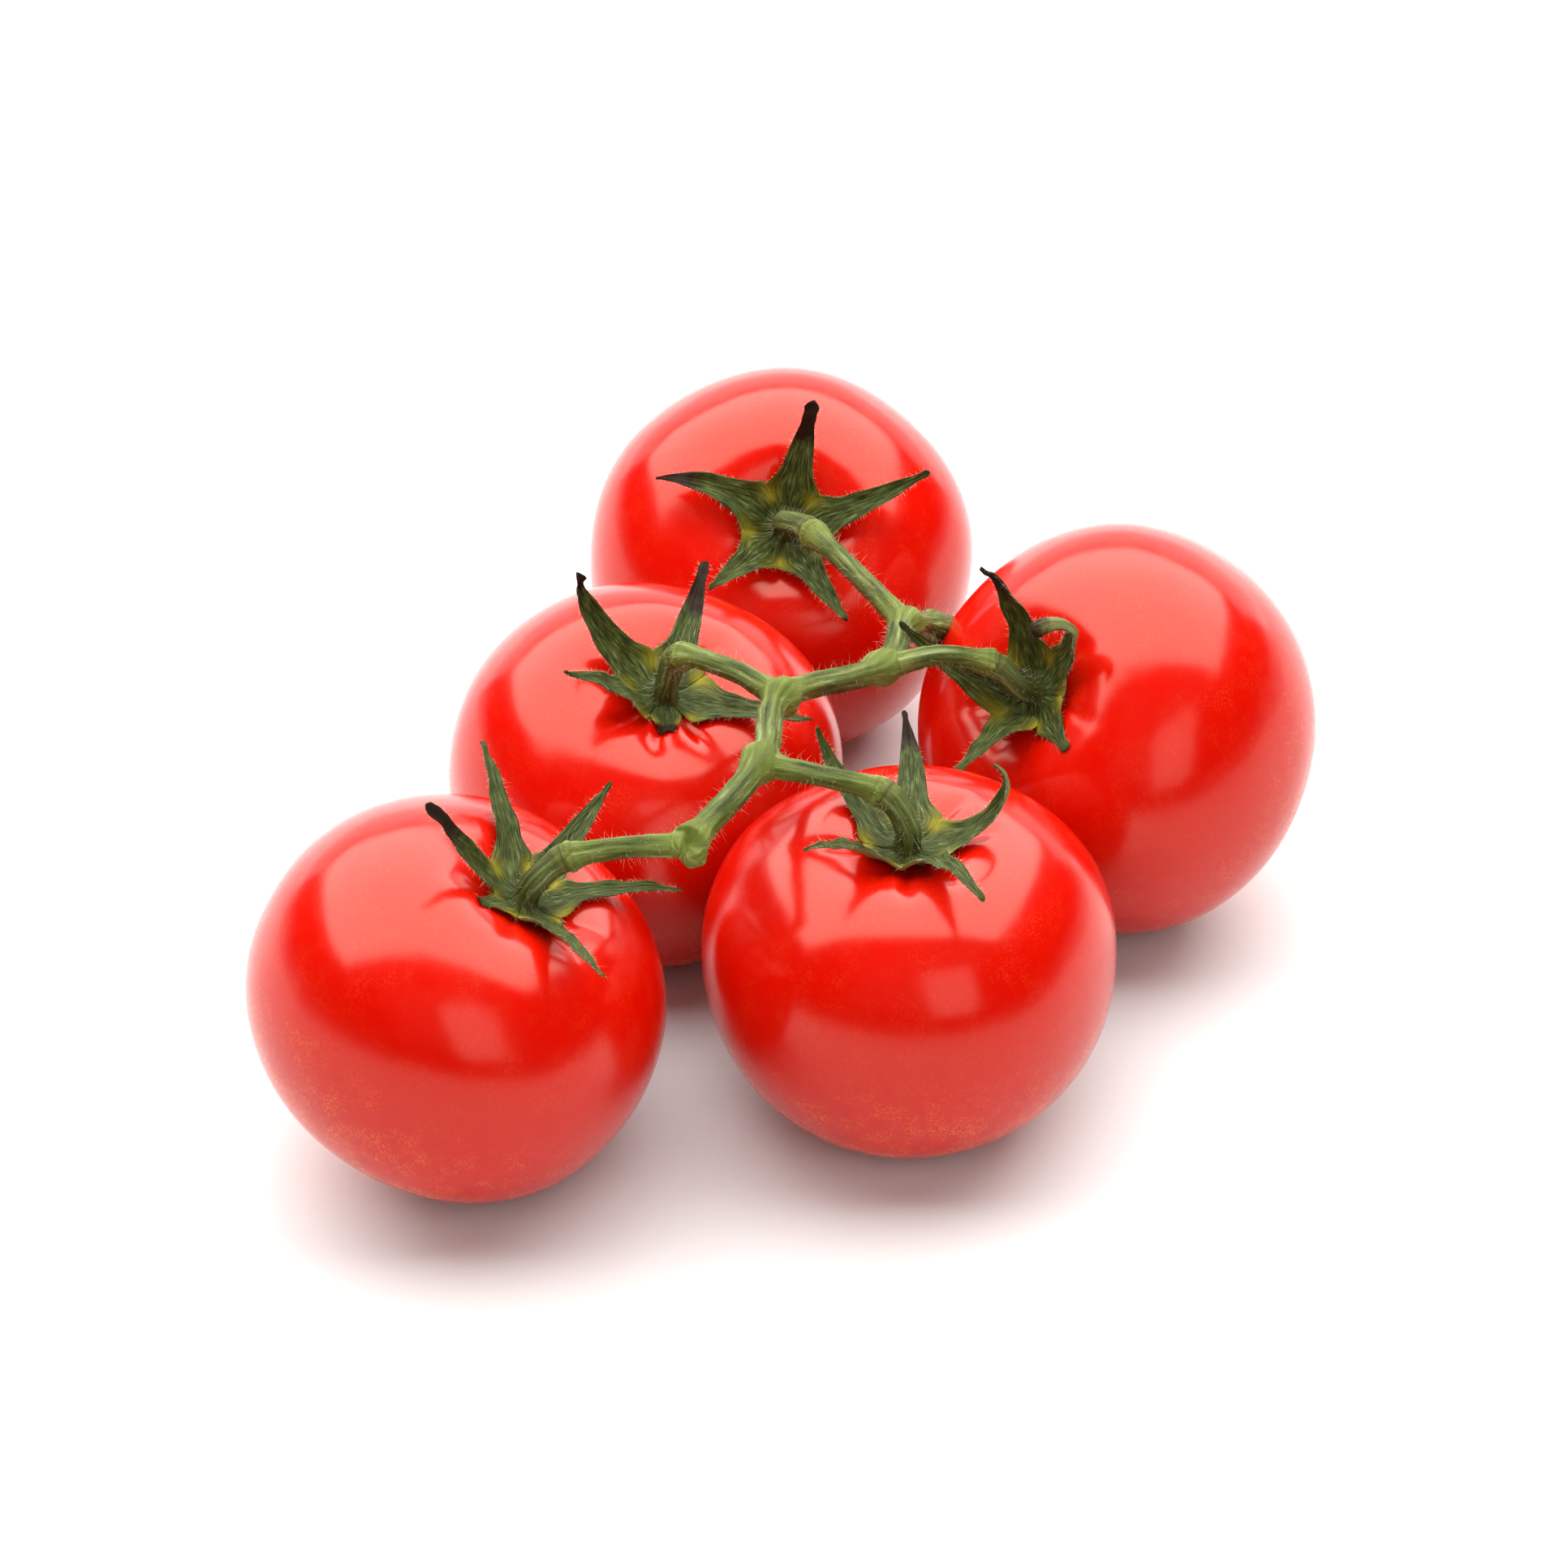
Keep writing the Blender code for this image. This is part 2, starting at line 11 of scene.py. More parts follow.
import bpy
import numpy as np
from bpy.props import FloatProperty, FloatVectorProperty, IntProperty, PointerProperty
from bpy.types import Operator, Panel, PropertyGroup
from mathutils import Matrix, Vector


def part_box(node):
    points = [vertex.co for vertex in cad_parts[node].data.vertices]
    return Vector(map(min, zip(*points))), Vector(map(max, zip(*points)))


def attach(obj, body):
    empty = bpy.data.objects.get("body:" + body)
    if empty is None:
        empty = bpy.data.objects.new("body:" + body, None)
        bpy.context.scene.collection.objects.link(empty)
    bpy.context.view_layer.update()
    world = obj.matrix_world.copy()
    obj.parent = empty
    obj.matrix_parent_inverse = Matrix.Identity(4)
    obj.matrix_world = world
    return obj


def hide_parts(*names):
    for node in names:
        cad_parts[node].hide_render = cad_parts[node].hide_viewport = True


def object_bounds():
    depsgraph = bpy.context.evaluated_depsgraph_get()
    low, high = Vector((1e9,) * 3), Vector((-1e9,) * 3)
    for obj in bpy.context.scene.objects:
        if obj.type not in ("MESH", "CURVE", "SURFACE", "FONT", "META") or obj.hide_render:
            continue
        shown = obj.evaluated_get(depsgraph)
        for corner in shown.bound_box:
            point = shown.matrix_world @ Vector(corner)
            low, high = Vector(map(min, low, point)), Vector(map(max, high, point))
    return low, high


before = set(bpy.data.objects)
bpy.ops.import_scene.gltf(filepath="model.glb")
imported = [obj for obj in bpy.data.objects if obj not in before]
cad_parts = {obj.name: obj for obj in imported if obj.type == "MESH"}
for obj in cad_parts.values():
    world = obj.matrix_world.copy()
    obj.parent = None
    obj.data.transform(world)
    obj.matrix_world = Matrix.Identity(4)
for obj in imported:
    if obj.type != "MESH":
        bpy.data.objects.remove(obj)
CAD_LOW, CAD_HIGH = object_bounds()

bl_info = {
    "name": "Tomato Truss",
    "version": (1, 0, 0),
    "blender": (4, 5, 0),
    "location": "View3D > Sidebar > Tomato Truss",
    "description": "Builds a cut truss of ripe tomatoes and a white studio round its CAD frame",
    "category": "Add Mesh",
}

MM = 0.001
ROOT_BODY = "root"

# What all fruits share: power of the outline's superellipse (2 is an ellipse), width of the bell
# that sinks in the stem end, and depth and width of the dimple at the blossom end.
FULLNESS = 2.25
CAVITY_WIDTH = 10.5 * MM
DIMPLE_DEPTH = 1.0 * MM
DIMPLE_WIDTH = 6.0 * MM
# Knuckles and stalks.
KNUCKLE_DIAMETER = 5.2 * MM
STALK_RADIUS = 2.02 * MM
# Calyx: distance of the sepals' roots from the axis, and how much wider they are where fused.
SEPAL_ROOT = 3.9 * MM
SEPAL_FLARE = 2.6 * MM
# Hairs: thickness at the root, and how many stand along each mm of a sepal's edges.
STEM_HAIR_THICKNESS = 0.036 * MM
SEPAL_HAIR_THICKNESS = 0.034 * MM
SEPAL_HAIRS_PER_MM = 2.2

# Studio: half the floor's side (m), and the camera's lens (mm), tilt, distance and aim (m).
FLOOR_REACH = 1.8
CAMERA_LENS = 146.0
CAMERA_TILT = 35.0
CAMERA_DISTANCE = 1.05
CAMERA_AIM = (-0.00195, -0.0165, 0.040)
# Each lamp: place, what it faces, width, height (m), watts, and whether it shows in the gloss.
LAMPS = {
    "overhead_softbox": ((-0.20, 0.47, 0.95), (-0.20, 0.32, 0.0), 2.5, 1.64, 66.0, True),
    "back_softbox": ((0.0, 1.70, 0.45), (0.0, 0.0, 0.45), 3.6, 0.9, 16.0, True),
    "front_softbox": ((0.42, -1.02, 0.62), None, 0.56, 0.70, 2.1, True),
    "front_fill": ((0.1, -1.3, 1.0), None, 1.8, 1.2, 12.0, False),
}

# ---- What grew where ----------------------------------------------------------------------------
# Each fruit: x and y as shares of the layout width, size and tall as shares of the middling fruit,
# lean of the stem end from upright toward a bearing (degrees counterclockwise from +X), taper of
# the blossom end, and lobes as (count, share of the radius, bearing).

FRUITS = {
    "front_left": dict(
        x=-0.772, y=-0.675, size=1.000, tall=0.985, lean=29, bearing=-8, taper=0.02,
        lobes=((5, 0.008, 20), (2, 0.006, 60)), furrows=7, pucker=0.85, seed=3,
    ),
    "middle_left": dict(
        x=-0.340, y=0.266, size=0.972, tall=1.000, lean=22, bearing=-67, taper=0.02,
        lobes=((5, 0.010, 35), (3, 0.012, 145)), furrows=8, pucker=1.00, seed=5,
    ),
    "back": dict(
        x=-0.010, y=1.184, size=0.995, tall=1.000, lean=44, bearing=-87, taper=0.02,
        lobes=((5, 0.010, 10), (2, 0.008, 40)), furrows=7, pucker=0.60, seed=8,
    ),
    "right": dict(
        x=0.826, y=0.385, size=1.015, tall=0.990, lean=50, bearing=-141, taper=0.02,
        lobes=((5, 0.010, 0), (2, 0.006, 90)), furrows=6, pucker=0.45, seed=13,
    ),
    "front_right": dict(
        x=0.297, y=-0.482, size=0.990, tall=1.000, lean=5, bearing=-105, taper=0.06,
        lobes=((5, 0.010, 15), (3, 0.010, 150)), furrows=8, pucker=1.00, seed=21,
    ),
}

# The main stem from its cut end: x and y as shares of the layout width, height as a share of the
# fruit height, diameter in mm.
RACHIS = (
    ("cut_end", 0.414, 0.603, 0.741, 5.2),
    ("back_node", 0.300, 0.412, 0.914, 6.4),
    ("right_node", 0.235, 0.103, 1.008, 6.4),
    ("middle_left_node", -0.005, -0.088, 1.060, 6.8),
    ("front_right_node", -0.057, -0.382, 1.074, 6.8),
    ("front_left_node", -0.221, -0.699, 1.064, 6.6),
)
END_STUB = (-0.199, -0.690, 1.000)

# Each stalk: its node, and the length (mm), lean and bearing of the part above the calyx up to the
# knuckle, then how far the part below the knuckle arches up (mm).
STALKS = {
    "front_left": dict(node="front_left_node", length=11.3, lean=43, bearing=10, arch=0.8),
    "middle_left": dict(node="middle_left_node", length=11.2, lean=20, bearing=-41, arch=1.5),
    "back": dict(node="back_node", length=11.5, lean=61, bearing=-64, arch=0.5),
    "right": dict(node="right_node", length=11.2, lean=49, bearing=-170, arch=2.0),
    "front_right": dict(node="front_right_node", length=12.0, lean=21, bearing=160, arch=0.5),
}

# Each sepal: bearing round the stem axis, length (mm), angles above the fruit's level where it
# starts and ends, extra turn of the tip (hook), sideways turn along the way (sway), turn of the
# blade about its own rib, width as a share of the middling sepal, how much of the tip has dried,
# and the tip's width (mm).
SEPAL_VALUES = (
    "bearing", "length", "start", "end", "hook", "sway", "turn", "width", "dry", "tip",
)
SEPAL_ROWS = {
    "front_left": (
        (195, 25.8, 34, 35, 0, 0, -35, 0.90, 0.9, 1.9),
        (117, 25.6, 20, 8, -8, -5, 0, 1.00, 0.2, 1.2),
        (68, 25.5, 18, 22, 0, 3, 0, 0.90, 0.2, 0.9),
        (27, 24.5, 20, 6, -8, -3, 0, 0.72, 0.1, 0.7),
        (290, 25.0, 34, 18, 0, 3, 0, 0.76, 0.0, 0.6),
        (232, 8.5, 30, -10, -60, -34, 0, 0.62, 0.3, 2.0),
    ),
    "middle_left": (
        (151, 26.0, 29, 66, 18, 5, -15, 1.20, 0.6, 1.5),
        (76, 22.8, 14, 4, 0, 5, 0, 0.95, 1.0, 1.8),
        (206, 24.5, 50, 40, 0, 6, 0, 0.95, 0.1, 0.6),
        (346, 22.0, 16, 20, 0, -3, 0, 1.00, 0.0, 0.6),
        (274, 3.4, 10, -40, -30, 0, 0, 0.80, 1.0, 2.6),
    ),
    "back": (
        (80, 20.8, 34, 40, 8, -5, 0, 1.12, 0.9, 2.4),
        (149, 21.5, 40, -4, -24, 30, 0, 1.15, 0.8, 0.5),
        (13, 24.5, 29, 26, 0, 12, 0, 1.00, 0.2, 1.3),
        (226, 20.0, 38, 40, 0, 0, 0, 1.00, 0.1, 1.0),
        (297, 23.5, 34, 44, 8, 2, 0, 0.92, 0.2, 1.2),
    ),
    "right": (
        (66, 24.5, 38, 70, 20, 0, 0, 1.10, 0.8, 0.6),
        (6, 27.5, 30, 55, 180, 0, 0, 1.00, 0.45, 2.8),
        (290, 10.5, 18, 0, -20, 0, 0, 1.00, 0.2, 2.0),
        (240, 21.0, 54, 42, 0, 5, 0, 1.20, 0.0, 2.0),
        (150, 23.5, 61, 40, 0, -44, 0, 1.00, 0.3, 1.1),
    ),
    "front_right": (
        (134, 22.5, 12, 48, 18, -9, 0, 0.92, 0.1, 0.9),
        (84, 25.5, 13, 5, 0, 14, 0, 1.02, 0.8, 1.0),
        (2, 24.0, 14, 80, 70, 12, 0, 0.92, 0.1, 0.5),
        (297, 25.0, 46, 0, -6, -2, 0, 0.86, 0.0, 1.2),
        (224, 24.0, 46, 30, -8, 3, 0, 0.76, 0.0, 0.7),
    ),
}
SEPALS = {
    name: [dict(zip(SEPAL_VALUES, row)) for row in rows] for name, rows in SEPAL_ROWS.items()
}

# ---- Sizes and colours a user would change ------------------------------------------------------


def srgb(text):
    """Linear colour of an sRGB hex value."""
    channels = [int(text[i : i + 2], 16) / 255 for i in (0, 2, 4)]
    return tuple(
        c / 12.92 if c <= 0.04045 else ((c + 0.055) / 1.055) ** 2.4 for c in channels
    )


def length_of(name, description, default, least, most):
    """A property that holds a length in metres."""
    return FloatProperty(
        name=name, description=description, default=default, min=least, max=most,
        subtype="DISTANCE", unit="LENGTH",
    )


def colour_of(name, description, text):
    """A property that holds a colour, from its sRGB hex value."""
    return FloatVectorProperty(
        name=name, description=description, default=srgb(text), subtype="COLOR", min=0, max=1
    )


class TomatoSizes(PropertyGroup):
    """Sizes of the fruits, stems and sepals."""

    fruit_diameter: length_of(
        "Fruit Diameter", "Across the widest part of a middling fruit", 0.0680, 0.02, 0.15
    )
    fruit_height: length_of(
        "Fruit Height", "From the shoulders to the blossom end", 0.0580, 0.02, 0.15
    )
    cavity_depth: length_of(
        "Stem Cavity Depth", "How far the stem end is sunk in", 0.0062, 0.0, 0.02
    )
    rachis_diameter: length_of(
        "Stem Diameter", "Main fruit stem between its nodes", 0.0043, 0.001, 0.02
    )
    stalk_diameter: length_of(
        "Stalk Diameter", "A fruit's stalk below its knuckle", 0.0035, 0.001, 0.02
    )
    sepal_width: length_of("Sepal Width", "Widest part of a middling sepal", 0.0058, 0.001, 0.02)
    hair_length: length_of("Hair Length", "Longest hairs on the stems", 0.0030, 0.0, 0.01)
    stem_hairs: IntProperty(
        name="Stem Hairs", description="Number of hairs on the truss stem", default=2600, min=0
    )


class TomatoColours(PropertyGroup):
    """Colours of the skin, the green parts and the studio."""

    ripe_red: colour_of("Ripe Red", "Skin over most of a fruit", "BE0A00")
    warm_red: colour_of("Warm Red", "Skin near the blossom end", "EE3E04")
    fleck_orange: colour_of("Fleck Orange", "Fine flecks in the skin", "F5803A")
    stem_green: colour_of("Stem Green", "Main colour of the stems", "58632C")
    leaf_green: colour_of("Sepal Green", "Main colour of the sepals", "525C28")
    dry_brown: colour_of("Dry Brown", "Withered tips of the sepals", "30200E")
    floor_white: colour_of("Floor", "The plain studio floor", "D2D0CE")


# ---- Small mathematics --------------------------------------------------------------------------


def ease(value, start, end):
    """Goes smoothly from 0 at start to 1 at end."""
    t = np.clip((value - start) / (end - start), 0, 1)
    return t * t * (3 - 2 * t)


def bell(off, width):
    """A bell curve: 1 in the middle and about a third one width away."""
    return np.exp(-((off / width) ** 2))


def unit(vectors):
    """The same vectors, each one long."""
    return vectors / np.linalg.norm(vectors, axis=-1, keepdims=True)


def uneven(points, size, seed, waves=14):
    """A smooth random value between about -1 and 1 at each point, with bumps of about that size.

    It is the mean of sine waves of random direction, phase and nearly equal length.
    """
    rng = np.random.default_rng(seed)
    ways = unit(rng.normal(size=(waves, 3)))
    ways *= (2 * math.pi / (size * rng.uniform(1.4, 3.0, (waves, 1))))
    phases = rng.uniform(0, 2 * math.pi, waves)
    return np.sin(points @ ways.T + phases).sum(axis=-1) * math.sqrt(2 / waves) * 0.7


def lean_matrix(lean, bearing):
    """Rotation that tips the upright axis toward a bearing, without spinning round it."""
    lean, bearing = math.radians(lean), math.radians(bearing)
    turn = np.array([
        [math.cos(bearing), -math.sin(bearing), 0.0],
        [math.sin(bearing), math.cos(bearing), 0.0],
        [0.0, 0.0, 1.0],
    ])
    tip = np.array([
        [math.cos(lean), 0.0, math.sin(lean)],
        [0.0, 1.0, 0.0],
        [-math.sin(lean), 0.0, math.cos(lean)],
    ])
    return turn @ tip @ turn.T


def smooth_path(points, per_span):
    """A curve through all the points: each span leaves and reaches its ends along the line between
    their neighbours, as a cubic."""
    points = np.asarray(points, float)
    chain = np.vstack([2 * points[0] - points[1], points, 2 * points[-1] - points[-2]])
    a, b, c, d = chain[:-3, None], chain[1:-2, None], chain[2:-1, None], chain[3:, None]
    t = (np.arange(per_span) / per_span)[None, :, None]
    spans = 0.5 * (
        2 * b
        + (c - a) * t
        + (2 * a - 5 * b + 4 * c - d) * t**2
        + (3 * b - a - 3 * c + d) * t**3
    )
    return np.vstack([spans.reshape(-1, 3), points[-1]])


def way_along(path):
    """Distance of each point of a path from its start."""
    lengths = np.linalg.norm(np.diff(path, axis=0), axis=1)
    return np.concatenate([[0], np.cumsum(lengths)])


def even_path(path, step):
    """The same path with its points an even step apart, and their distances from its start."""
    reach = way_along(path)
    count = max(int(round(reach[-1] / step)), 2) + 1
    marks = np.linspace(0, reach[-1], count)
    return np.stack([np.interp(marks, reach, path[:, i]) for i in range(3)], axis=-1), marks


def path_frames(path):
    """Tangent and two normals at each point of a path, carried along without twisting."""
    tangents = unit(np.gradient(path, axis=0))
    guide = np.array([0.0, 0.0, 1.0]) if abs(tangents[0, 2]) < 0.8 else np.array([0.0, 1.0, 0.0])
    normals = np.empty_like(path)
    for i, tangent in enumerate(tangents):
        guide = unit(guide - tangent * (guide @ tangent))
        normals[i] = guide
    return tangents, normals, np.cross(tangents, normals)


# ---- Meshes -------------------------------------------------------------------------------------


def make_mesh(name, points, quads, triangles=()):
    """A mesh from arrays of points, four-sided and three-sided faces."""
    quads = np.asarray(quads, np.int32).reshape(-1, 4)
    triangles = np.asarray(triangles, np.int32).reshape(-1, 3)
    mesh = bpy.data.meshes.new(name)
    mesh.vertices.add(len(points))
    mesh.vertices.foreach_set("co", np.asarray(points, np.float32).ravel())
    corners = np.concatenate([quads.ravel(), triangles.ravel()])
    sizes = np.concatenate([np.full(len(quads), 4), np.full(len(triangles), 3)])
    mesh.loops.add(len(corners))
    mesh.loops.foreach_set("vertex_index", corners.astype(np.int32))
    mesh.polygons.add(len(sizes))
    starts = np.concatenate([[0], np.cumsum(sizes)[:-1]]).astype(np.int32)
    mesh.polygons.foreach_set("loop_start", starts)
    mesh.polygons.foreach_set("use_smooth", np.ones(len(sizes), bool))
    mesh.update(calc_edges=True)
    mesh.validate()
    return mesh


def tube_faces(rings, around, first=0):
    """Faces of a closed tube whose rings of points are listed one after another.

    Both ends close in a fan onto one more point each, listed after the rings.
    """
    ring = np.arange(rings - 1)[:, None] * around
    here = np.arange(around)[None, :]
    ahead = (here + 1) % around
    quads = np.stack(
        [ring + here, ring + ahead, ring + around + ahead, ring + around + here], axis=-1
    ).reshape(-1, 4)
    start, end = rings * around, rings * around + 1
    last = (rings - 1) * around
    fan = np.concatenate([
        np.stack([np.full(around, start), ahead[0], here[0]], axis=-1),
        np.stack([np.full(around, end), last + here[0], last + ahead[0]], axis=-1),
    ])
    return quads + first, fan + first


def close_ends(rings):
    """Lists the points of a stack of rings, then the middles of its first and last ring."""
    flat = rings.reshape(-1, 3)
    return np.vstack([flat, rings[0].mean(axis=0), rings[-1].mean(axis=0)])


def tube_mesh(name, stacks, flip=False):
    """One mesh of closed tubes, each from its own stack of rings. Flip turns the faces round."""
    points, quads, fans, first = [], [], [], 0
    for rings in stacks:
        sides, ends = tube_faces(rings.shape[0], rings.shape[1], first)
        points.append(close_ends(rings))
        quads.append(sides)
        fans.append(ends)
        first += len(points[-1])
    step = -1 if flip else 1
    return make_mesh(
        name, np.vstack(points), np.vstack(quads)[:, ::step], np.vstack(fans)[:, ::step]
    )


def tube_rings(path, radii, around, ribs=0.0, rib_count=5):
    """Rings round a path: point = middle + radius (cosine normal + sine other normal).

    The radius swells by the share "ribs" in rib_count low ridges.
    """
    tangents, normals, others = path_frames(path)
    angle = np.linspace(0, 2 * math.pi, around, endpoint=False)
    swell = 1 + ribs * np.cos(rib_count * angle)
    reach = np.asarray(radii)[:, None] * swell[None, :]
    return (
        path[:, None, :]
        + reach[..., None] * np.cos(angle)[None, :, None] * normals[:, None, :]
        + reach[..., None] * np.sin(angle)[None, :, None] * others[:, None, :]
    )


def store(mesh, **layers):
    """Keeps numbers or vectors, one per point, as named attributes for the materials."""
    for name, values in layers.items():
        kind, key = ("FLOAT_VECTOR", "vector") if np.ndim(values) == 2 else ("FLOAT", "value")
        attribute = mesh.attributes.new(name, kind, "POINT")
        attribute.data.foreach_set(key, np.asarray(values, np.float32).ravel())


def add_piece(name, mesh, material, nodes=()):
    """Puts a finished mesh in the scene on the root body, in place of its CAD nodes."""
    mesh.name = name
    mesh.materials.clear()
    mesh.materials.append(material)
    obj = bpy.data.objects.new(name, mesh)
    bpy.context.scene.collection.objects.link(obj)
    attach(obj, ROOT_BODY)
    if nodes:
        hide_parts(*nodes)
    return obj


# ---- Layout shared by the pieces ----------------------------------------------------------------


def sizes():
    """The sizes as they are set in the scene."""
    return bpy.context.scene.tomato_sizes


def colours():
    """The colours as they are set in the scene."""
    return bpy.context.scene.tomato_colours


def lobe_swell(polar, turn, fruit):
    """How much a fruit's lobes widen it: waves round its axis, under a bell on the shoulder."""
    near_shoulder = bell(np.degrees(polar) - 58, 38)
    swelling = sum(
        share * np.cos(count * (turn - math.radians(bearing)))
        for count, share, bearing in fruit["lobes"]
    )
    return 1 + swelling * near_shoulder


def skin(polar, turn, fruit):
    """Point of a fruit's skin at a polar angle from the stem end and a turn round its axis.

    A superellipse gives the outline. Lobes swell the shoulder, bell curves sink in the stem end
    and the blossom end.
    """
    half_width = sizes().fruit_diameter / 2 * fruit["size"]
    half_height = sizes().fruit_height / 2 * fruit["size"] * fruit["tall"]
    sine, cosine = np.sin(polar), np.cos(polar)
    reach = (
        (np.abs(sine) / half_width) ** FULLNESS + (np.abs(cosine) / half_height) ** FULLNESS
    ) ** (-1 / FULLNESS)
    radius, height = reach * sine, reach * cosine
    radius = radius * (1 - fruit["taper"] * np.clip(-height / half_height, 0, 1) ** 1.3)
    radius = radius * lobe_swell(polar, turn, fruit)
    sunk = sizes().cavity_depth * bell(radius, CAVITY_WIDTH) * (cosine > 0)
    dimple = DIMPLE_DEPTH * bell(radius, DIMPLE_WIDTH) * (cosine < 0)
    height = height - sunk + dimple
    return np.stack([radius * np.cos(turn), radius * np.sin(turn), height], axis=-1)


def furrow_depth(radius, turn, fruit):
    """Depth of the puckers that run out from the stem cavity.

    Each is a bell across its own bearing. They start at the cavity's edge and fade down the
    shoulder.
    """
    rng = np.random.default_rng(fruit["seed"])
    count = fruit["furrows"]
    bearings = 2 * math.pi * (np.arange(count) + rng.uniform(-0.28, 0.28, count)) / count
    depths = rng.uniform(0.35, 1.0, count) * 0.85 * MM * fruit["pucker"]
    widths = rng.uniform(0.10, 0.20, count)
    lengths = rng.uniform(3.4, 6.0, count) * MM
    total = np.zeros(np.shape(turn))
    for bearing, depth, width, length in zip(bearings, depths, widths, lengths):
        off = (turn - bearing + math.pi) % (2 * math.pi) - math.pi
        along = bell(radius - 9.0 * MM, length)
        total = total + depth * bell(off, width) * along
    return total


def detailed_skin(polar, turn, fruit):
    """The skin with its puckers, the soft swellings of the chambers and small unevenness."""
    points = skin(polar, turn, fruit)
    radius = np.hypot(points[..., 0], points[..., 1])
    upper = points[..., 2] > 0
    points[..., 2] -= furrow_depth(radius, turn, fruit) * upper
    way = points / np.maximum(np.linalg.norm(points, axis=-1, keepdims=True), 1e-6)
    bumps = uneven(points, 22 * MM, fruit["seed"]) * 0.22 * MM
    bumps = bumps + uneven(points, 7 * MM, fruit["seed"] + 1) * 0.035 * MM
    bumps = bumps * ease(radius, 2 * MM, 12 * MM)
    return points + way * bumps[..., None]


def fruit_place(name):
    """Where a fruit's centre stands: its own outline is moved to fill its CAD node's box."""
    fruit = FRUITS[name]
    polar, turn = np.meshgrid(np.linspace(0, math.pi, 60), np.linspace(0, 2 * math.pi, 90))
    points = skin(polar, turn, fruit).reshape(-1, 3) @ tipping(name).T
    low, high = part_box(f"fruit_{name}")
    middle = (np.array(low) + np.array(high)) / 2
    place = middle - (points.min(axis=0) + points.max(axis=0)) / 2
    place[2] = high[2] - points[:, 2].max()
    return place


def tipping(name):
    """Rotation of a fruit from upright to its own lean."""
    return lean_matrix(FRUITS[name]["lean"], FRUITS[name]["bearing"])


def spread():
    """The layout's width unit, which grows with the wider side of the fruits."""
    return max(sizes().fruit_diameter, sizes().fruit_height * 1.15)


def truss_point(x, y, z):
    """A point of the truss from its shares, shifted as the front left fruit is."""
    first = FRUITS["front_left"]
    shift = fruit_place("front_left") - np.array([first["x"], first["y"], 0]) * spread()
    return np.array([x * spread() + shift[0], y * spread() + shift[1], z * sizes().fruit_height])


def skin_height(radius, turn, fruit):
    """Height of the upper skin at a distance from the stem axis, from a fine profile.

    The lobes are small, so the profile at turn 0 is stretched to the lobed radius.
    """
    polar = np.linspace(0, math.pi / 2, 400)
    plain = dict(fruit, lobes=())
    profile = skin(polar, np.zeros_like(polar), plain)
    guess = np.interp(radius, profile[:, 0], polar)
    return np.interp(radius / lobe_swell(guess, turn, fruit), profile[:, 0], profile[:, 2])


def stalk_course(name):
    """Middle line of one stalk from its node to the fruit, and the place of its knuckle on it.

    Returns (path below the knuckle, path above it down to the calyx).
    """
    fruit, plan, tip = FRUITS[name], STALKS[name], tipping(name)
    nodes = {row[0]: truss_point(*row[1:4]) for row in RACHIS}
    axis = tip @ np.array([0, 0, 1.0])
    pole = skin(np.array([0.0]), np.array([0.0]), fruit)[0]
    pad = tip @ pole + fruit_place(name)
    rim = skin_height(np.array([3.4 * MM]), np.array([0.0]), fruit)[0]
    foot = pad + axis * (rim - pole[2] + 0.5 * MM)
    way = lean_matrix(plan["lean"], plan["bearing"]) @ np.array([0, 0, 1.0])
    length = plan["length"] * MM
    knuckle = pad + way * length
    node = nodes[plan["node"]]
    middle = (node + knuckle) / 2 + np.array([0, 0, plan["arch"] * MM])
    bend = foot + axis * length * 0.45
    whole = smooth_path([node, middle, knuckle, bend, foot], 40)
    return whole[:81], whole[80:]


def main_course():
    """Middle line of the main stem, and its radius along it."""
    points = [truss_point(*row[1:4]) for row in RACHIS]
    path = smooth_path(points, 60)
    share = np.linspace(0, len(points) - 1, len(path))
    nodes = np.array([row[4] for row in RACHIS]) * MM / 2
    radii = np.interp(share, range(len(points)), nodes)
    between = ease(np.abs(share - np.round(share)), 0.02, 0.20)
    slim = between * (share > 0.5)
    return path, radii + (sizes().rachis_diameter / 2 - radii) * slim


# ---- Materials ----------------------------------------------------------------------------------

# A Mix node's colour inputs and its colour output, by number: their names repeat in it.
UNDER, OVER, MIXED = 6, 7, 2


def fill(node, inputs):
    """Gives each input of a node a value, or a link where the value is another node's output."""
    for name, value in inputs.items():
        if isinstance(value, bpy.types.NodeSocket):
            node.id_data.links.new(value, node.inputs[name])
        else:
            node.inputs[name].default_value = value


def add_node(tree, kind, inputs=None, out=None, **settings):
    """Adds a node with settings and filled inputs. Returns it, or its output of the given name."""
    made = tree.nodes.new("ShaderNode" + kind)
    for name, value in settings.items():
        setattr(made, name, value)
    fill(made, inputs or {})
    return made if out is None else made.outputs[out]


def new_material(name):
    """An empty material, what adds nodes to it, and its Principled shader wired to the output."""
    material = bpy.data.materials.new(name)
    material.use_nodes = True
    material.node_tree.nodes.clear()
    add = partial(add_node, material.node_tree)
    shader = add("BsdfPrincipled")
    add("OutputMaterial", {"Surface": shader.outputs["BSDF"]})
    return material, add, shader


def solid(colour):
    """A colour with full alpha, from an sRGB hex value or a colour property."""
    return (*(srgb(colour) if isinstance(colour, str) else colour[:3]), 1.0)


def fill_ramp(ramp, stops):
    """Sets a colour ramp's stops from (place, colour) pairs."""
    elements = ramp.color_ramp.elements
    while len(elements) > 1:
        elements.remove(elements[-1])
    elements[0].position = stops[0][0]
    elements[0].color = solid(stops[0][1])
    for place, colour in stops[1:]:
        elements.new(place).color = solid(colour)
    return ramp.outputs["Color"]


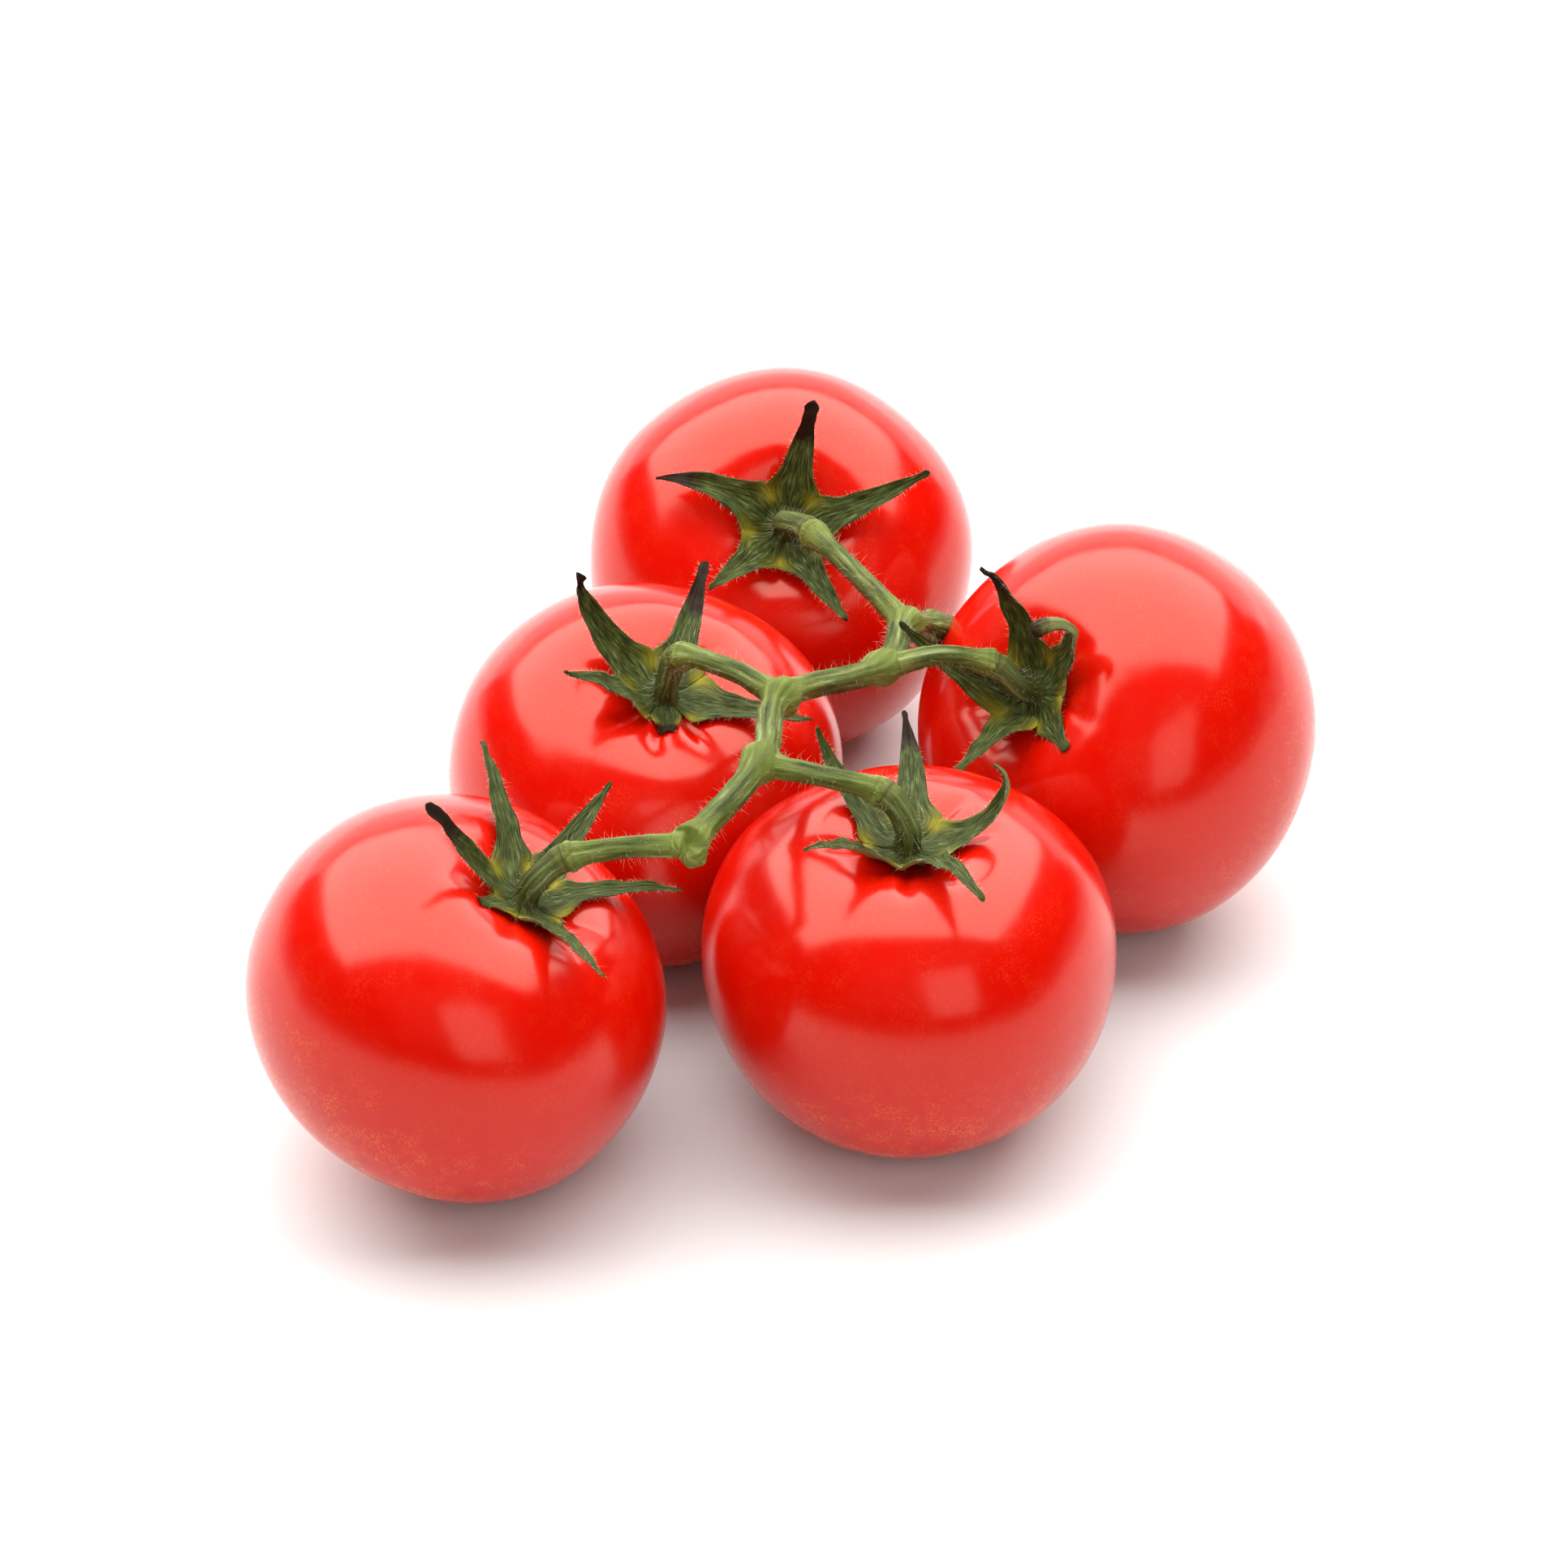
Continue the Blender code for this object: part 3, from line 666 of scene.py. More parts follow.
def lay_over(add, base, *layers):
    """The base colour with each (share, colour) laid over it in turn."""
    for share, colour in layers:
        base = add("Mix", {0: share, UNDER: base, OVER: colour}, MIXED, data_type="RGBA")
    return base


def product(add, value, *others):
    """All the values multiplied together."""
    for other in others:
        value = add("Math", {0: value, 1: other}, "Value", operation="MULTIPLY")
    return value


def make_skin_material():
    """Ripe tomato skin: a thin clear cuticle over red flesh.

    The eye gets a deep red with soft broad gloss, orange flecks that thicken toward the blossom
    end, faint lines from end to end, and a little light carried inside.
    """
    material, add, shader = new_material("ripe_tomato_cuticle")
    own = add("Attribute", out="Vector", attribute_name="own_place")
    line = add("Attribute", out="Vector", attribute_name="meridian")
    lat = add("Attribute", out="Fac", attribute_name="latitude")
    reach = add("Attribute", out="Fac", attribute_name="axis_distance")
    # Broad drifts of colour, about 14 mm across, and streaks from end to end.
    drift = add("TexNoise", {"Vector": own, "Scale": 70.0, "Detail": 3.0}, "Fac")
    streak = add(
        "TexNoise", {"Vector": line, "Scale": 9.0, "Detail": 4.0, "Roughness": 0.6}, "Fac"
    )
    low = add(
        "MapRange", {"Value": lat, "From Min": 0.45, "From Max": 1.0}, "Result",
        interpolation_type="SMOOTHSTEP",
    )
    lined = product(add, drift, low, streak)
    warm = add("MapRange", {"Value": lined, "From Min": 0.04, "From Max": 0.30}, "Result")
    # Flecks: one in each cell under 1 mm across, shown only in drifting patches.
    cells = add("TexVoronoi", {"Vector": own, "Scale": 2100.0, "Randomness": 1.0}, "Distance")
    dot = add("MapRange", {"Value": cells, "From Min": 0.62, "From Max": 0.25}, "Result")
    clusters = add(
        "TexNoise", {"Vector": own, "Scale": 190.0, "Detail": 8.0, "Roughness": 0.78}, "Fac"
    )
    crowd = add("MapRange", {"Value": clusters, "From Min": 0.46, "From Max": 0.62}, "Result")
    lowered = add(
        "MapRange",
        {"Value": lat, "From Min": 0.46, "From Max": 0.68, "To Min": 0.06, "To Max": 0.60},
        "Result",
    )
    flecks = product(add, crowd, dot, lowered)
    # Corky scar at the blossom end, about 2 mm across.
    scar = add("MapRange", {"Value": reach, "From Min": 1.5 * MM, "From Max": 0.8 * MM}, "Result")
    under = add("Math", {0: lat, 1: 0.8}, "Value", operation="GREATER_THAN")
    red = lay_over(
        add, solid(colours().ripe_red), (warm, solid(colours().warm_red)),
        (flecks, solid(colours().fleck_orange)), (product(add, scar, under), solid("6B4A24")),
    )
    # The cuticle is duller where the flecks crowd, and waves softly over a few mm.
    gloss = add(
        "MapRange",
        {"Value": clusters, "From Min": 0.3, "From Max": 0.7, "To Min": 0.16, "To Max": 0.23},
        "Result",
    )
    waves = add("TexNoise", {"Vector": own, "Scale": 160.0, "Detail": 1.0}, "Fac")
    soft = add("Bump", {"Height": waves, "Strength": 0.18, "Distance": 0.35 * MM}, "Normal")
    fill(shader, {
        "Base Color": red, "Roughness": gloss, "Normal": soft, "IOR": 1.5,
        "Specular Tint": solid("FFE4CC"), "Subsurface Weight": 0.12,
        "Subsurface Radius": (1.0, 0.16, 0.06), "Subsurface Scale": 2.5 * MM,
    })
    return material


def make_stem_material():
    """Young tomato stem: ribbed, downy green tissue that is pale at the nodes.

    The eye gets lengthwise streaks, a lime tint at each node and knuckle, grey-brown rubbed
    patches, painted shade as dark rings at the knuckles and the stalks' feet, and a dull gloss.
    """
    material, add, shader = new_material("downy_tomato_stem")
    grain = add("Attribute", out="Vector", attribute_name="grain")
    pale = add("Attribute", out="Fac", attribute_name="node_near")
    # Painted shade: the crease mask darkens the knuckle grooves, the joints and the stalks' feet.
    crease = add("Attribute", out="Fac", attribute_name="crease")
    place = add("TexCoord", out="Object")
    streaks = add(
        "TexNoise", {"Vector": grain, "Scale": 900.0, "Detail": 5.0, "Roughness": 0.65}, "Fac"
    )
    green = fill_ramp(add("ValToRGB", {"Fac": streaks}), (
        (0.30, "13170A"), (0.43, "363F14"), (0.57, colours().stem_green), (0.76, "989F78"),
    ))
    lime = lay_over(add, solid("586A1C"), (streaks, solid("98A248")))
    # Rubbed patches, about 3 mm across.
    rubs = add(
        "TexNoise", {"Vector": place, "Scale": 330.0, "Detail": 6.0, "Roughness": 0.7}, "Fac"
    )
    rubbed = add(
        "MapRange", {"Value": rubs, "From Min": 0.56, "From Max": 0.72, "To Max": 0.75}, "Result"
    )
    # The dark brown laid by the crease mask is painted shade.
    green = lay_over(
        add, green, (pale, lime), (rubbed, solid("605634")), (crease, solid("3A3218"))
    )
    bumps = add(
        "TexNoise", {"Vector": place, "Scale": 1500.0, "Detail": 4.0, "Roughness": 0.6}, "Fac"
    )
    ridged = add("Bump", {"Height": streaks, "Strength": 0.55, "Distance": 0.25 * MM}, "Normal")
    pimpled = add(
        "Bump", {"Height": bumps, "Strength": 0.35, "Distance": 0.12 * MM, "Normal": ridged},
        "Normal",
    )
    fill(shader, {
        "Base Color": green, "Normal": pimpled, "Roughness": 0.62, "IOR": 1.4,
        "Specular IOR Level": 0.25, "Subsurface Weight": 0.05,
        "Subsurface Radius": (0.5, 0.6, 0.1), "Subsurface Scale": 0.6 * MM,
    })
    return material


def make_sepal_material():
    """Tomato sepal: thin, veined leaf tissue that withers from the tip.

    The eye gets grey-green with dark lengthwise veins, a paler underside, yellow at the notches
    between sepals, and brown-black dry tips.
    """
    material, add, shader = new_material("withering_sepal")
    leaf = add("Attribute", out="Vector", attribute_name="leaf_place")
    dry = add("Attribute", out="Fac", attribute_name="dryness")
    notch = add("Attribute", out="Fac", attribute_name="notch")
    under = add("Attribute", out="Fac", attribute_name="underside")
    place = add("TexCoord", out="Object")
    stretched = add("Mapping", {"Vector": leaf, "Scale": (1.0, 0.08, 1.0)}, "Vector")
    veins = add(
        "TexNoise",
        {
            "Vector": stretched, "Scale": 3800.0, "Detail": 4.0, "Roughness": 0.6,
            "Distortion": 0.15,
        },
        "Fac",
    )
    green = fill_ramp(add("ValToRGB", {"Fac": veins}), (
        (0.30, "0F1304"), (0.45, "2E360E"), (0.60, colours().leaf_green), (0.80, "949A72"),
    ))
    mottle = add(
        "TexNoise", {"Vector": place, "Scale": 420.0, "Detail": 5.0, "Roughness": 0.65}, "Fac"
    )
    shade = add(
        "MapRange",
        {"Value": mottle, "From Min": 0.35, "From Max": 0.65, "To Min": 0.0, "To Max": 0.45},
        "Result",
    )
    # The dry part's edge wanders with the mottling.
    edge = add("Math", {0: mottle, 1: 0.9, 2: dry}, "Value", operation="MULTIPLY_ADD")
    withered = add("MapRange", {"Value": edge, "From Min": 0.78, "From Max": 1.02}, "Result")
    crisp = lay_over(add, solid("0C0602"), (veins, solid(colours().dry_brown)))
    green = lay_over(
        add, green, (shade, solid("1E2204")), (product(add, under, 0.55), solid("7E7E4C")),
        (notch, solid("A4941A")), (withered, crisp),
    )
    ridged = add("Bump", {"Height": veins, "Strength": 0.6, "Distance": 0.22 * MM}, "Normal")
    puckered = add(
        "Bump", {"Height": mottle, "Strength": 0.4, "Distance": 0.35 * MM, "Normal": ridged},
        "Normal",
    )
    fill(shader, {
        "Base Color": green, "Normal": puckered, "Roughness": 0.66, "IOR": 1.4,
        "Specular IOR Level": 0.25, "Subsurface Weight": 0.06,
        "Subsurface Radius": (0.5, 0.7, 0.2), "Subsurface Scale": 0.6 * MM,
    })
    return material


def make_hair_material():
    """Plant hairs: fine clear threads that catch the light, seen as pale grey-green lines."""
    material, add, shader = new_material("stem_hair")
    place = add("TexCoord", out="Object")
    tint = add("TexNoise", {"Vector": place, "Scale": 500.0}, "Fac")
    colour = fill_ramp(add("ValToRGB", {"Fac": tint}), ((0.3, "A8A880"), (0.7, "DCD8C0")))
    fill(shader, {"Base Color": colour, "Roughness": 0.45})
    return material


def make_floor_material():
    """Matt white paper: even and pale, with a tooth too fine to see as more than softness."""
    material, add, shader = new_material("matt_white_paper")
    place = add("TexCoord", out="Object")
    tooth = add("TexNoise", {"Vector": place, "Scale": 900.0}, "Fac")
    bump = add("Bump", {"Height": tooth, "Strength": 0.05, "Distance": 0.1 * MM}, "Normal")
    fill(shader, {
        "Base Color": solid(colours().floor_white), "Roughness": 0.8,
        "Specular IOR Level": 0.2, "Normal": bump,
    })
    return material


def fill_world(tree):
    """Surround light: white near the horizon, where the studio's walls are lit, and dim above."""
    tree.nodes.clear()
    add = partial(add_node, tree)
    split = add("SeparateXYZ", {"Vector": add("TexCoord", out="Generated")})
    wall = add(
        "MapRange",
        {
            "Value": split.outputs["Y"], "From Min": -0.2, "From Max": 0.8,
            "To Min": 0.25, "To Max": 1.0,
        },
        "Result", interpolation_type="SMOOTHSTEP",
    )
    level = add(
        "MapRange",
        {
            "Value": split.outputs["Z"], "From Min": 0.02, "From Max": 0.14,
            "To Min": wall, "To Max": 0.02,
        },
        "Result", interpolation_type="SMOOTHSTEP",
    )
    back = add("Background", {"Color": (1, 1, 1, 1), "Strength": level}, "Background")
    add("OutputWorld", {"Surface": back})


# ---- Builders -----------------------------------------------------------------------------------


def build_fruit(name, material):
    """One fruit: the skin formula on a grid whose rings crowd toward the stem end."""
    fruit = FRUITS[name]
    rings, around = 190, 260
    share = np.linspace(0, 1, rings + 2)[1:-1]
    polar = math.pi * share**1.25
    turn = np.linspace(0, 2 * math.pi, around, endpoint=False)
    turn_grid, polar_grid = np.meshgrid(turn, polar)
    own = detailed_skin(polar_grid, turn_grid, fruit)
    own_list = close_ends(own)
    placed = own_list @ tipping(name).T + fruit_place(name)
    placed[:, 2] = np.maximum(placed[:, 2], 0.0)
    # Rings run from the stem end down, so the faces are turned to look outward.
    quads, fans = tube_faces(rings, around)
    mesh = make_mesh(f"tomato_{name}", placed, quads[:, ::-1], fans[:, ::-1])
    turns = np.concatenate([turn_grid.ravel(), [0, 0]])
    latitude = np.concatenate([polar_grid.ravel() / math.pi, [0, 1]])
    meridian = np.stack([np.cos(turns) + fruit["seed"], np.sin(turns), latitude * 0.35], axis=-1)
    store(
        mesh, own_place=own_list + fruit["seed"] * 0.1, meridian=meridian, latitude=latitude,
        axis_distance=np.hypot(own_list[:, 0], own_list[:, 1]),
    )
    return add_piece(f"tomato_{name}", mesh, material, [f"fruit_{name}"])


def stem_courses():
    """Every stem of the truss as (middle line, radii, distance to the knuckle or None)."""
    s = sizes()
    main, main_radii = main_course()
    courses = [dict(path=main, radii=main_radii, knuckle=False)]
    for name in STALKS:
        lower, _ = stalk_course(name)
        lower = np.vstack([lower, lower[-1] + unit(lower[-1] - lower[-3]) * 0.45 * MM])
        share = np.linspace(0, 1, len(lower))
        swell = bell(share - 0.98, 0.13)
        root = bell(share, 0.25)
        radii = (
            s.stalk_diameter
            + (KNUCKLE_DIAMETER - s.stalk_diameter) * swell
            + (s.rachis_diameter - s.stalk_diameter) * root
        ) / 2
        courses.append(dict(path=lower, radii=radii, knuckle=True))
    last = truss_point(*RACHIS[-1][1:4])
    stub = truss_point(*END_STUB)
    reach = np.linspace(0, 1, 12)[:, None]
    courses.append(dict(
        path=last + (stub - last) * reach, radii=np.linspace(2.7, 1.9, 12) * MM, knuckle=False,
    ))
    return courses


def build_truss(material):
    """The main stem and lower stalks, grown together.

    Tubes along the middle lines are fused by a fine remesh and smoothed, so that each fork has a
    fillet. Then every point is moved by ridges along the stem, rings at the knuckles and lumps at
    the nodes, worked out from its nearest place on a middle line.
    """
    courses = stem_courses()
    stacks = []
    for course in courses:
        path, marks = even_path(course["path"], 0.5 * MM)
        radii = np.interp(marks, way_along(course["path"]), course["radii"])
        course["even"], course["marks"], course["even_radii"] = path, marks, radii
        rings = tube_rings(path, radii, 32, ribs=0.03)
        middle = path[:, None, :]
        stacks.append(middle + (rings - middle) * end_rounding(marks)[:, None, None])
    rough = bpy.data.objects.new("stem_tubes", tube_mesh("stem_tubes", stacks, flip=True))
    bpy.context.scene.collection.objects.link(rough)
    remesh = rough.modifiers.new("fuse", "REMESH")
    remesh.mode = "VOXEL"
    remesh.voxel_size = 0.24 * MM
    soften = rough.modifiers.new("soften", "SMOOTH")
    soften.iterations = 6
    soften.factor = 0.5
    graph = bpy.context.evaluated_depsgraph_get()
    fused = bpy.data.meshes.new_from_object(rough.evaluated_get(graph))
    bpy.data.objects.remove(rough)
    places, normals = np.empty((2, len(fused.vertices), 3), np.float32)
    fused.vertices.foreach_get("co", places.ravel())
    fused.vertex_normals.foreach_get("vector", normals.ravel())
    places, normals = places.astype(float), normals.astype(float)
    grain, node_near, crease, shift = stem_details(places, courses)
    moved = places + normals * shift[:, None]
    fused.vertices.foreach_set("co", moved.astype(np.float32).ravel())
    fused.polygons.foreach_set("use_smooth", np.ones(len(fused.polygons), bool))
    fused.update()
    store(fused, grain=grain, node_near=node_near, crease=crease)
    return add_piece("truss", fused, material, ["truss_stem"])


def end_rounding(marks):
    """Share of the full radius at each mark: a quarter circle over 0.6 mm at either end."""
    near = np.minimum(marks - marks[0], marks[-1] - marks) / (0.6 * MM)
    return np.sqrt(np.clip(1 - (1 - np.clip(near, 0.02, 1)) ** 2, 0.05, 1))


def stem_details(places, courses):
    """Pattern coordinates, painted crease shade and relief of points on the truss.

    Each point takes its place from the middle line it is nearest to, counted in stem radii.
    """
    best = np.full(len(places), np.inf)
    grain = np.zeros((len(places), 3))
    crease = np.zeros(len(places))
    shift = np.zeros(len(places))
    for number, course in enumerate(courses):
        path, radii, marks = course["even"], course["even_radii"], course["marks"]
        tangents, normals, others = path_frames(path)
        for low in range(0, len(places), 20000):
            part = slice(low, low + 20000)
            away = np.linalg.norm(places[part, None, :] - path[None, :, :], axis=2) / radii
            near = away.argmin(axis=1)
            score = away[np.arange(len(near)), near]
            take = score < best[part]
            offset = places[part] - path[near]
            angle = np.arctan2((offset * others[near]).sum(1), (offset * normals[near]).sum(1))
            along = marks[near] + (offset * tangents[near]).sum(1)
            # Streaks run along the stem: the pattern is stretched tenfold that way.
            spot = np.stack([
                np.cos(angle) * 2.3 * MM + number * 0.05, np.sin(angle) * 2.3 * MM, along * 0.10,
            ], axis=-1)
            ridge = 0.05 * np.cos(5 * angle + along / MM * 0.10)
            ridge = ridge + 0.03 * np.cos(11 * angle + along / MM * 0.23 + number)
            ring = np.zeros(len(near))
            if course["knuckle"]:
                # Each knuckle gets a groove; the crease mask paints shade in it and at the joint
                # with the upper stalk.
                from_end = marks[-1] - along
                ring = bell(from_end - 1.7 * MM, 0.20 * MM) * 0.5
                ridge = ridge - 0.20 * ring
                ring = np.maximum(ring, 0.9 * bell(from_end, 0.30 * MM))
            best[part] = np.where(take, score, best[part])
            grain[part] = np.where(take[:, None], spot, grain[part])
            crease[part] = np.where(take, ring, crease[part])
            shift[part] = np.where(take, ridge * MM, shift[part])
    spots = [truss_point(*row[1:4]) for row in RACHIS[1:]]
    spots += [course["even"][-1] for course in courses if course["knuckle"]]
    reach = np.min([np.linalg.norm(places - spot, axis=1) for spot in spots], axis=0)
    node_near = bell(reach, 5.0 * MM)
    shift += uneven(places, 2.4 * MM, 31) * 0.10 * MM * (0.4 + node_near)
    shift += uneven(places, 0.9 * MM, 32) * 0.035 * MM
    return grain, node_near * 0.55, crease * 0.8, shift


def build_upper_stalk(name, material):
    """One stalk above its knuckle: a tube that swells at the knuckle and sinks into the calyx."""
    _, upper = stalk_course(name)
    upper = np.vstack([upper[0] + unit(upper[0] - upper[2]) * 1.3 * MM, upper])
    path, marks = even_path(upper, 0.12 * MM)
    share = marks / marks[-1]
    radii = STALK_RADIUS + 0.34 * MM * bell(share - 0.12, 0.16)
    radii = radii + 0.5 * MM * ease(share, 0.84, 1.0)
    around = 72
    rings = tube_rings(path, radii, around, ribs=0.015, rib_count=7)
    angle = np.linspace(0, 2 * math.pi, around, endpoint=False)
    way = unit(rings - path[:, None, :])
    ridges = 0.035 * np.cos(9 * angle[None, :] + marks[:, None] / MM * 0.2)
    lip = 0.08 * bell(marks - 3.0 * MM, 0.5 * MM)
    lumps = uneven(rings, 2.2 * MM, 41 + FRUITS[name]["seed"]) * 0.09
    rings = rings + way * ((ridges + lip[:, None] + lumps) * MM)[..., None]
    rounded = np.sqrt(np.clip(1 - (1 - np.clip(marks / (0.5 * MM), 0.05, 1)) ** 2, 0, 1))
    rings = path[:, None, :] + (rings - path[:, None, :]) * rounded[:, None, None]
    mesh = tube_mesh(f"stalk_{name}", [rings], flip=True)
    along = np.repeat(marks, around)
    turn = np.tile(angle, len(path))
    ends = np.array([[0, 0, marks[0]], [0, 0, marks[-1]]])
    grain = np.vstack([
        np.stack([np.cos(turn) * 2.3 * MM, np.sin(turn) * 2.3 * MM, along * 0.10], axis=-1), ends,
    ])
    along = np.concatenate([along, [marks[0], marks[-1]]])
    # Painted shade for the crease mask: a dark ring near the knuckle joint and darkening at the
    # foot in the calyx. The whole stalk also takes 0.28 of the dark colour.
    foot = bell(along - marks[-1], 2.4 * MM)
    ring = bell(along - 1.8 * MM, 0.25 * MM)
    store(
        mesh, grain=grain + FRUITS[name]["seed"] * 0.03,
        node_near=0.35 * bell(along - 1.5 * MM, 1.6 * MM), crease=0.28 + 0.55 * ring + 0.45 * foot,
    )
    return add_piece(f"stalk_{name}", mesh, material, [f"upper_stalk_{name}"])


def sepal_sides(sepals):
    """Half the free angle on either side of each sepal: (clockwise, counterclockwise)."""
    bearings = [sepal["bearing"] % 360 for sepal in sepals]
    sides = []
    for bearing in bearings:
        ahead = min((other - bearing) % 360 for other in bearings if other != bearing)
        behind = min((bearing - other) % 360 for other in bearings if other != bearing)
        sides.append((math.radians(min(behind, 100) / 2), math.radians(min(ahead, 100) / 2)))
    return sides


def sepal_shell(sepal, sides, fruit, number):
    """One sepal as a closed shell of cross-section loops, in the fruit's own frame.

    The middle line leaves the calyx disc, turns at a steady rate and gets extra turn near the
    tip. Across it lies a shallow trough: point = middle + half width x across + cup x across
    squared. The upper face is one thickness above the lower one, which is thickest along the rib.
    """
    length = sepal["length"] * MM
    steps = 120
    s = (np.arange(steps) + 0.5) / steps
    rise = np.radians(sepal["start"] + (sepal["end"] - sepal["start"]) * s + sepal["hook"] * s**4)
    swing = np.radians(sepal["sway"] * s)
    pace = length / steps
    marks = np.linspace(0, 1, steps + 1)
    outward = np.concatenate([[0], np.cumsum(np.cos(rise) * np.cos(swing) * pace)])
    sideways = np.concatenate([[0], np.cumsum(np.cos(rise) * np.sin(swing) * pace)])
    upward = np.concatenate([[0], np.cumsum(np.sin(rise) * pace)])
    floor = skin_height(np.array([SEPAL_ROOT]), np.array([0.0]), fruit)[0] + 0.5 * MM
    inner = (SEPAL_ROOT - 1.2 * MM) / length
    rows = 86
    along = np.concatenate([np.linspace(-inner, 0, 14)[:-1], np.linspace(0, 1, rows - 13) ** 0.92])
    half_count = 17
    across = np.concatenate([
        np.linspace(-1, 1, half_count), np.linspace(1, -1, half_count)[1:-1],
    ])
    lower = np.concatenate([np.zeros(half_count, bool), np.ones(half_count - 2, bool)])
    t = along[:, None] + np.zeros(len(across))
    v = across[None, :] + np.zeros((len(along), 1))
    tt = np.clip(t, 0, 1)
    x = SEPAL_ROOT + np.interp(tt, marks, outward) + np.minimum(t, 0) * length
    y = np.interp(tt, marks, sideways)
    z = floor + np.interp(tt, marks, upward)
    heading = np.interp(tt, s, rise) * ease(t, -0.02, 0.10)
    turned = np.interp(tt, s, swing)
    # Frame along the middle line: tangent, across and normal.
    across_way = np.stack([-np.sin(turned), np.cos(turned), np.zeros_like(turned)], axis=-1)
    normal = np.stack([
        -np.sin(heading) * np.cos(turned), -np.sin(heading) * np.sin(turned), np.cos(heading),
    ], axis=-1)
    turn = math.radians(sepal["turn"]) * ease(tt, 0.05, 0.55)[..., None]
    across_way, normal = (
        across_way * np.cos(turn) + normal * np.sin(turn),
        normal * np.cos(turn) - across_way * np.sin(turn),
    )
    leaf = (1 - tt) ** 0.85 * (1 + 0.45 * tt)
    half = sizes().sepal_width / 2 * sepal["width"] * 1.02 * leaf
    flare = SEPAL_FLARE * min(1, length / (16 * MM))
    half = half + flare * bell(np.maximum(x - 5.6 * MM, 0), 2.8 * MM)
    ragged = 1 + 0.10 * np.sin(v * 3 + tt * 60 + number * 2.1) * ease(tt, 0.8, 1.0)
    half = np.maximum(half, sepal["tip"] * MM / 2 * ease(tt, 0.0, 0.6) * ragged)
    half = half * np.sqrt(np.clip(1 - (np.clip(tt - 0.965, 0, 1) / 0.036) ** 2, 0.03, 1))
    clockwise, counterclockwise = sides
    room = np.where(v < 0, math.tan(clockwise), math.tan(counterclockwise)) * x
    blend = 0.35 * MM
    half = -blend * np.log(np.exp(-half / blend) + np.exp(-room / blend))
    half = np.maximum(half, 0.25 * MM)
    cup = 0.30 + 0.25 * ease(tt, 0.2, 1.0)
    wave = np.sin(tt * 19 + number * 1.7 + np.sign(v) * 0.8) * 0.10 * ease(tt, 0.1, 0.4)
    lift = half * (cup * v**2 + wave * np.abs(v) ** 3)
    middle = np.stack([x, y, z], axis=-1)
    sheet = middle + across_way * (v * half)[..., None] + normal * lift[..., None]
    # Neighbours share one surface where they are fused.
    reach = np.hypot(sheet[..., 0], sheet[..., 1])
    shared = floor + 0.36 * np.maximum(reach - SEPAL_ROOT, 0)
    fused = ease(np.abs(v), 0.25, 1.0) * (1 - ease(reach, 6.2 * MM, 9.0 * MM))
    sheet[..., 2] = sheet[..., 2] * (1 - fused) + shared * fused
    # The rib is raised below and slightly sunk above.
    edge = 0.24 + 0.30 * (1 - v**2)
    rib = 0.55 * bell(v, 0.16) * (1 - tt) ** 0.7
    groove = 0.14 * bell(v, 0.12) * ease(tt, 0.02, 0.15)
    thin = np.where(lower[None, :], -rib, edge - groove) * MM
    shell = sheet + normal * thin[..., None]
    crumple = uneven(sheet + number * 0.3, 3.2 * MM, 61 + number) * 0.16 * MM
    crumple = crumple + uneven(sheet, 1.3 * MM, 81 + number) * 0.05 * MM
    veins = np.stack([v * 2.6, t * length / MM * 0.10, np.zeros_like(t)], axis=-1)
    crumple = crumple + uneven(veins, 0.55, 91 + number) * 0.07 * MM * ~lower[None, :]
    dried = ease(tt, 1 - 0.75 * sepal["dry"] - 0.05, 1.0) * min(1.0, 0.4 + sepal["dry"])
    shell = shell + normal * (crumple * (1 + 1.6 * dried) * ease(t, 0.0, 0.2))[..., None]
    angle = math.radians(sepal["bearing"])
    spin = np.array([
        [math.cos(angle), -math.sin(angle), 0], [math.sin(angle), math.cos(angle), 0], [0, 0, 1],
    ])
    shell = shell @ spin.T
    distance = np.hypot(shell[..., 0], shell[..., 1])
    bearing = np.arctan2(shell[..., 1], shell[..., 0])
    rest = skin_height(distance, bearing, fruit) - furrow_depth(distance, bearing, fruit)
    rest = rest + np.where(lower[None, :], 0.10, 0.10 + edge) * MM
    shell[..., 2] = np.maximum(shell[..., 2], rest)
    dryness = ease(tt, 1 - 0.85 * sepal["dry"] - 0.02, 1.02) * (0.35 + 0.65 * sepal["dry"])
    notch = bell(reach - 6.6 * MM, 1.4 * MM) * np.abs(v) ** 3
    data = dict(
        leaf_place=np.stack([v * 2.6 * MM + number * 0.02, t * length, np.zeros_like(t)], axis=-1),
        dryness=dryness,
        notch=notch * 0.85,
        underside=np.broadcast_to(lower[None, :], t.shape).astype(float),
    )
    return shell, data


def build_calyx(name, material):
    """All the sepals of one fruit, fused round the stalk."""
    fruit = FRUITS[name]
    stacks, layers = [], dict(leaf_place=[], dryness=[], notch=[], underside=[])
    rows = SEPALS[name]
    for number, (sepal, sides) in enumerate(zip(rows, sepal_sides(rows))):
        shell, values = sepal_shell(sepal, sides, fruit, number + fruit["seed"])
        stacks.append(shell @ tipping(name).T + fruit_place(name))
        for key, grid in values.items():
            flat = grid.reshape(-1, 3) if grid.ndim == 3 else grid.ravel()
            ends = np.stack([grid[0].mean(axis=0), grid[-1].mean(axis=0)])
            layers[key].append(np.concatenate([flat, ends]))
    mesh = tube_mesh(f"calyx_{name}", stacks)
    store(mesh, **{key: np.concatenate(parts) for key, parts in layers.items()})
    nodes = [f"sepal_{name}_{number}" for number in range(1, len(rows) + 1)]
    return add_piece(f"calyx_{name}", mesh, material, nodes)


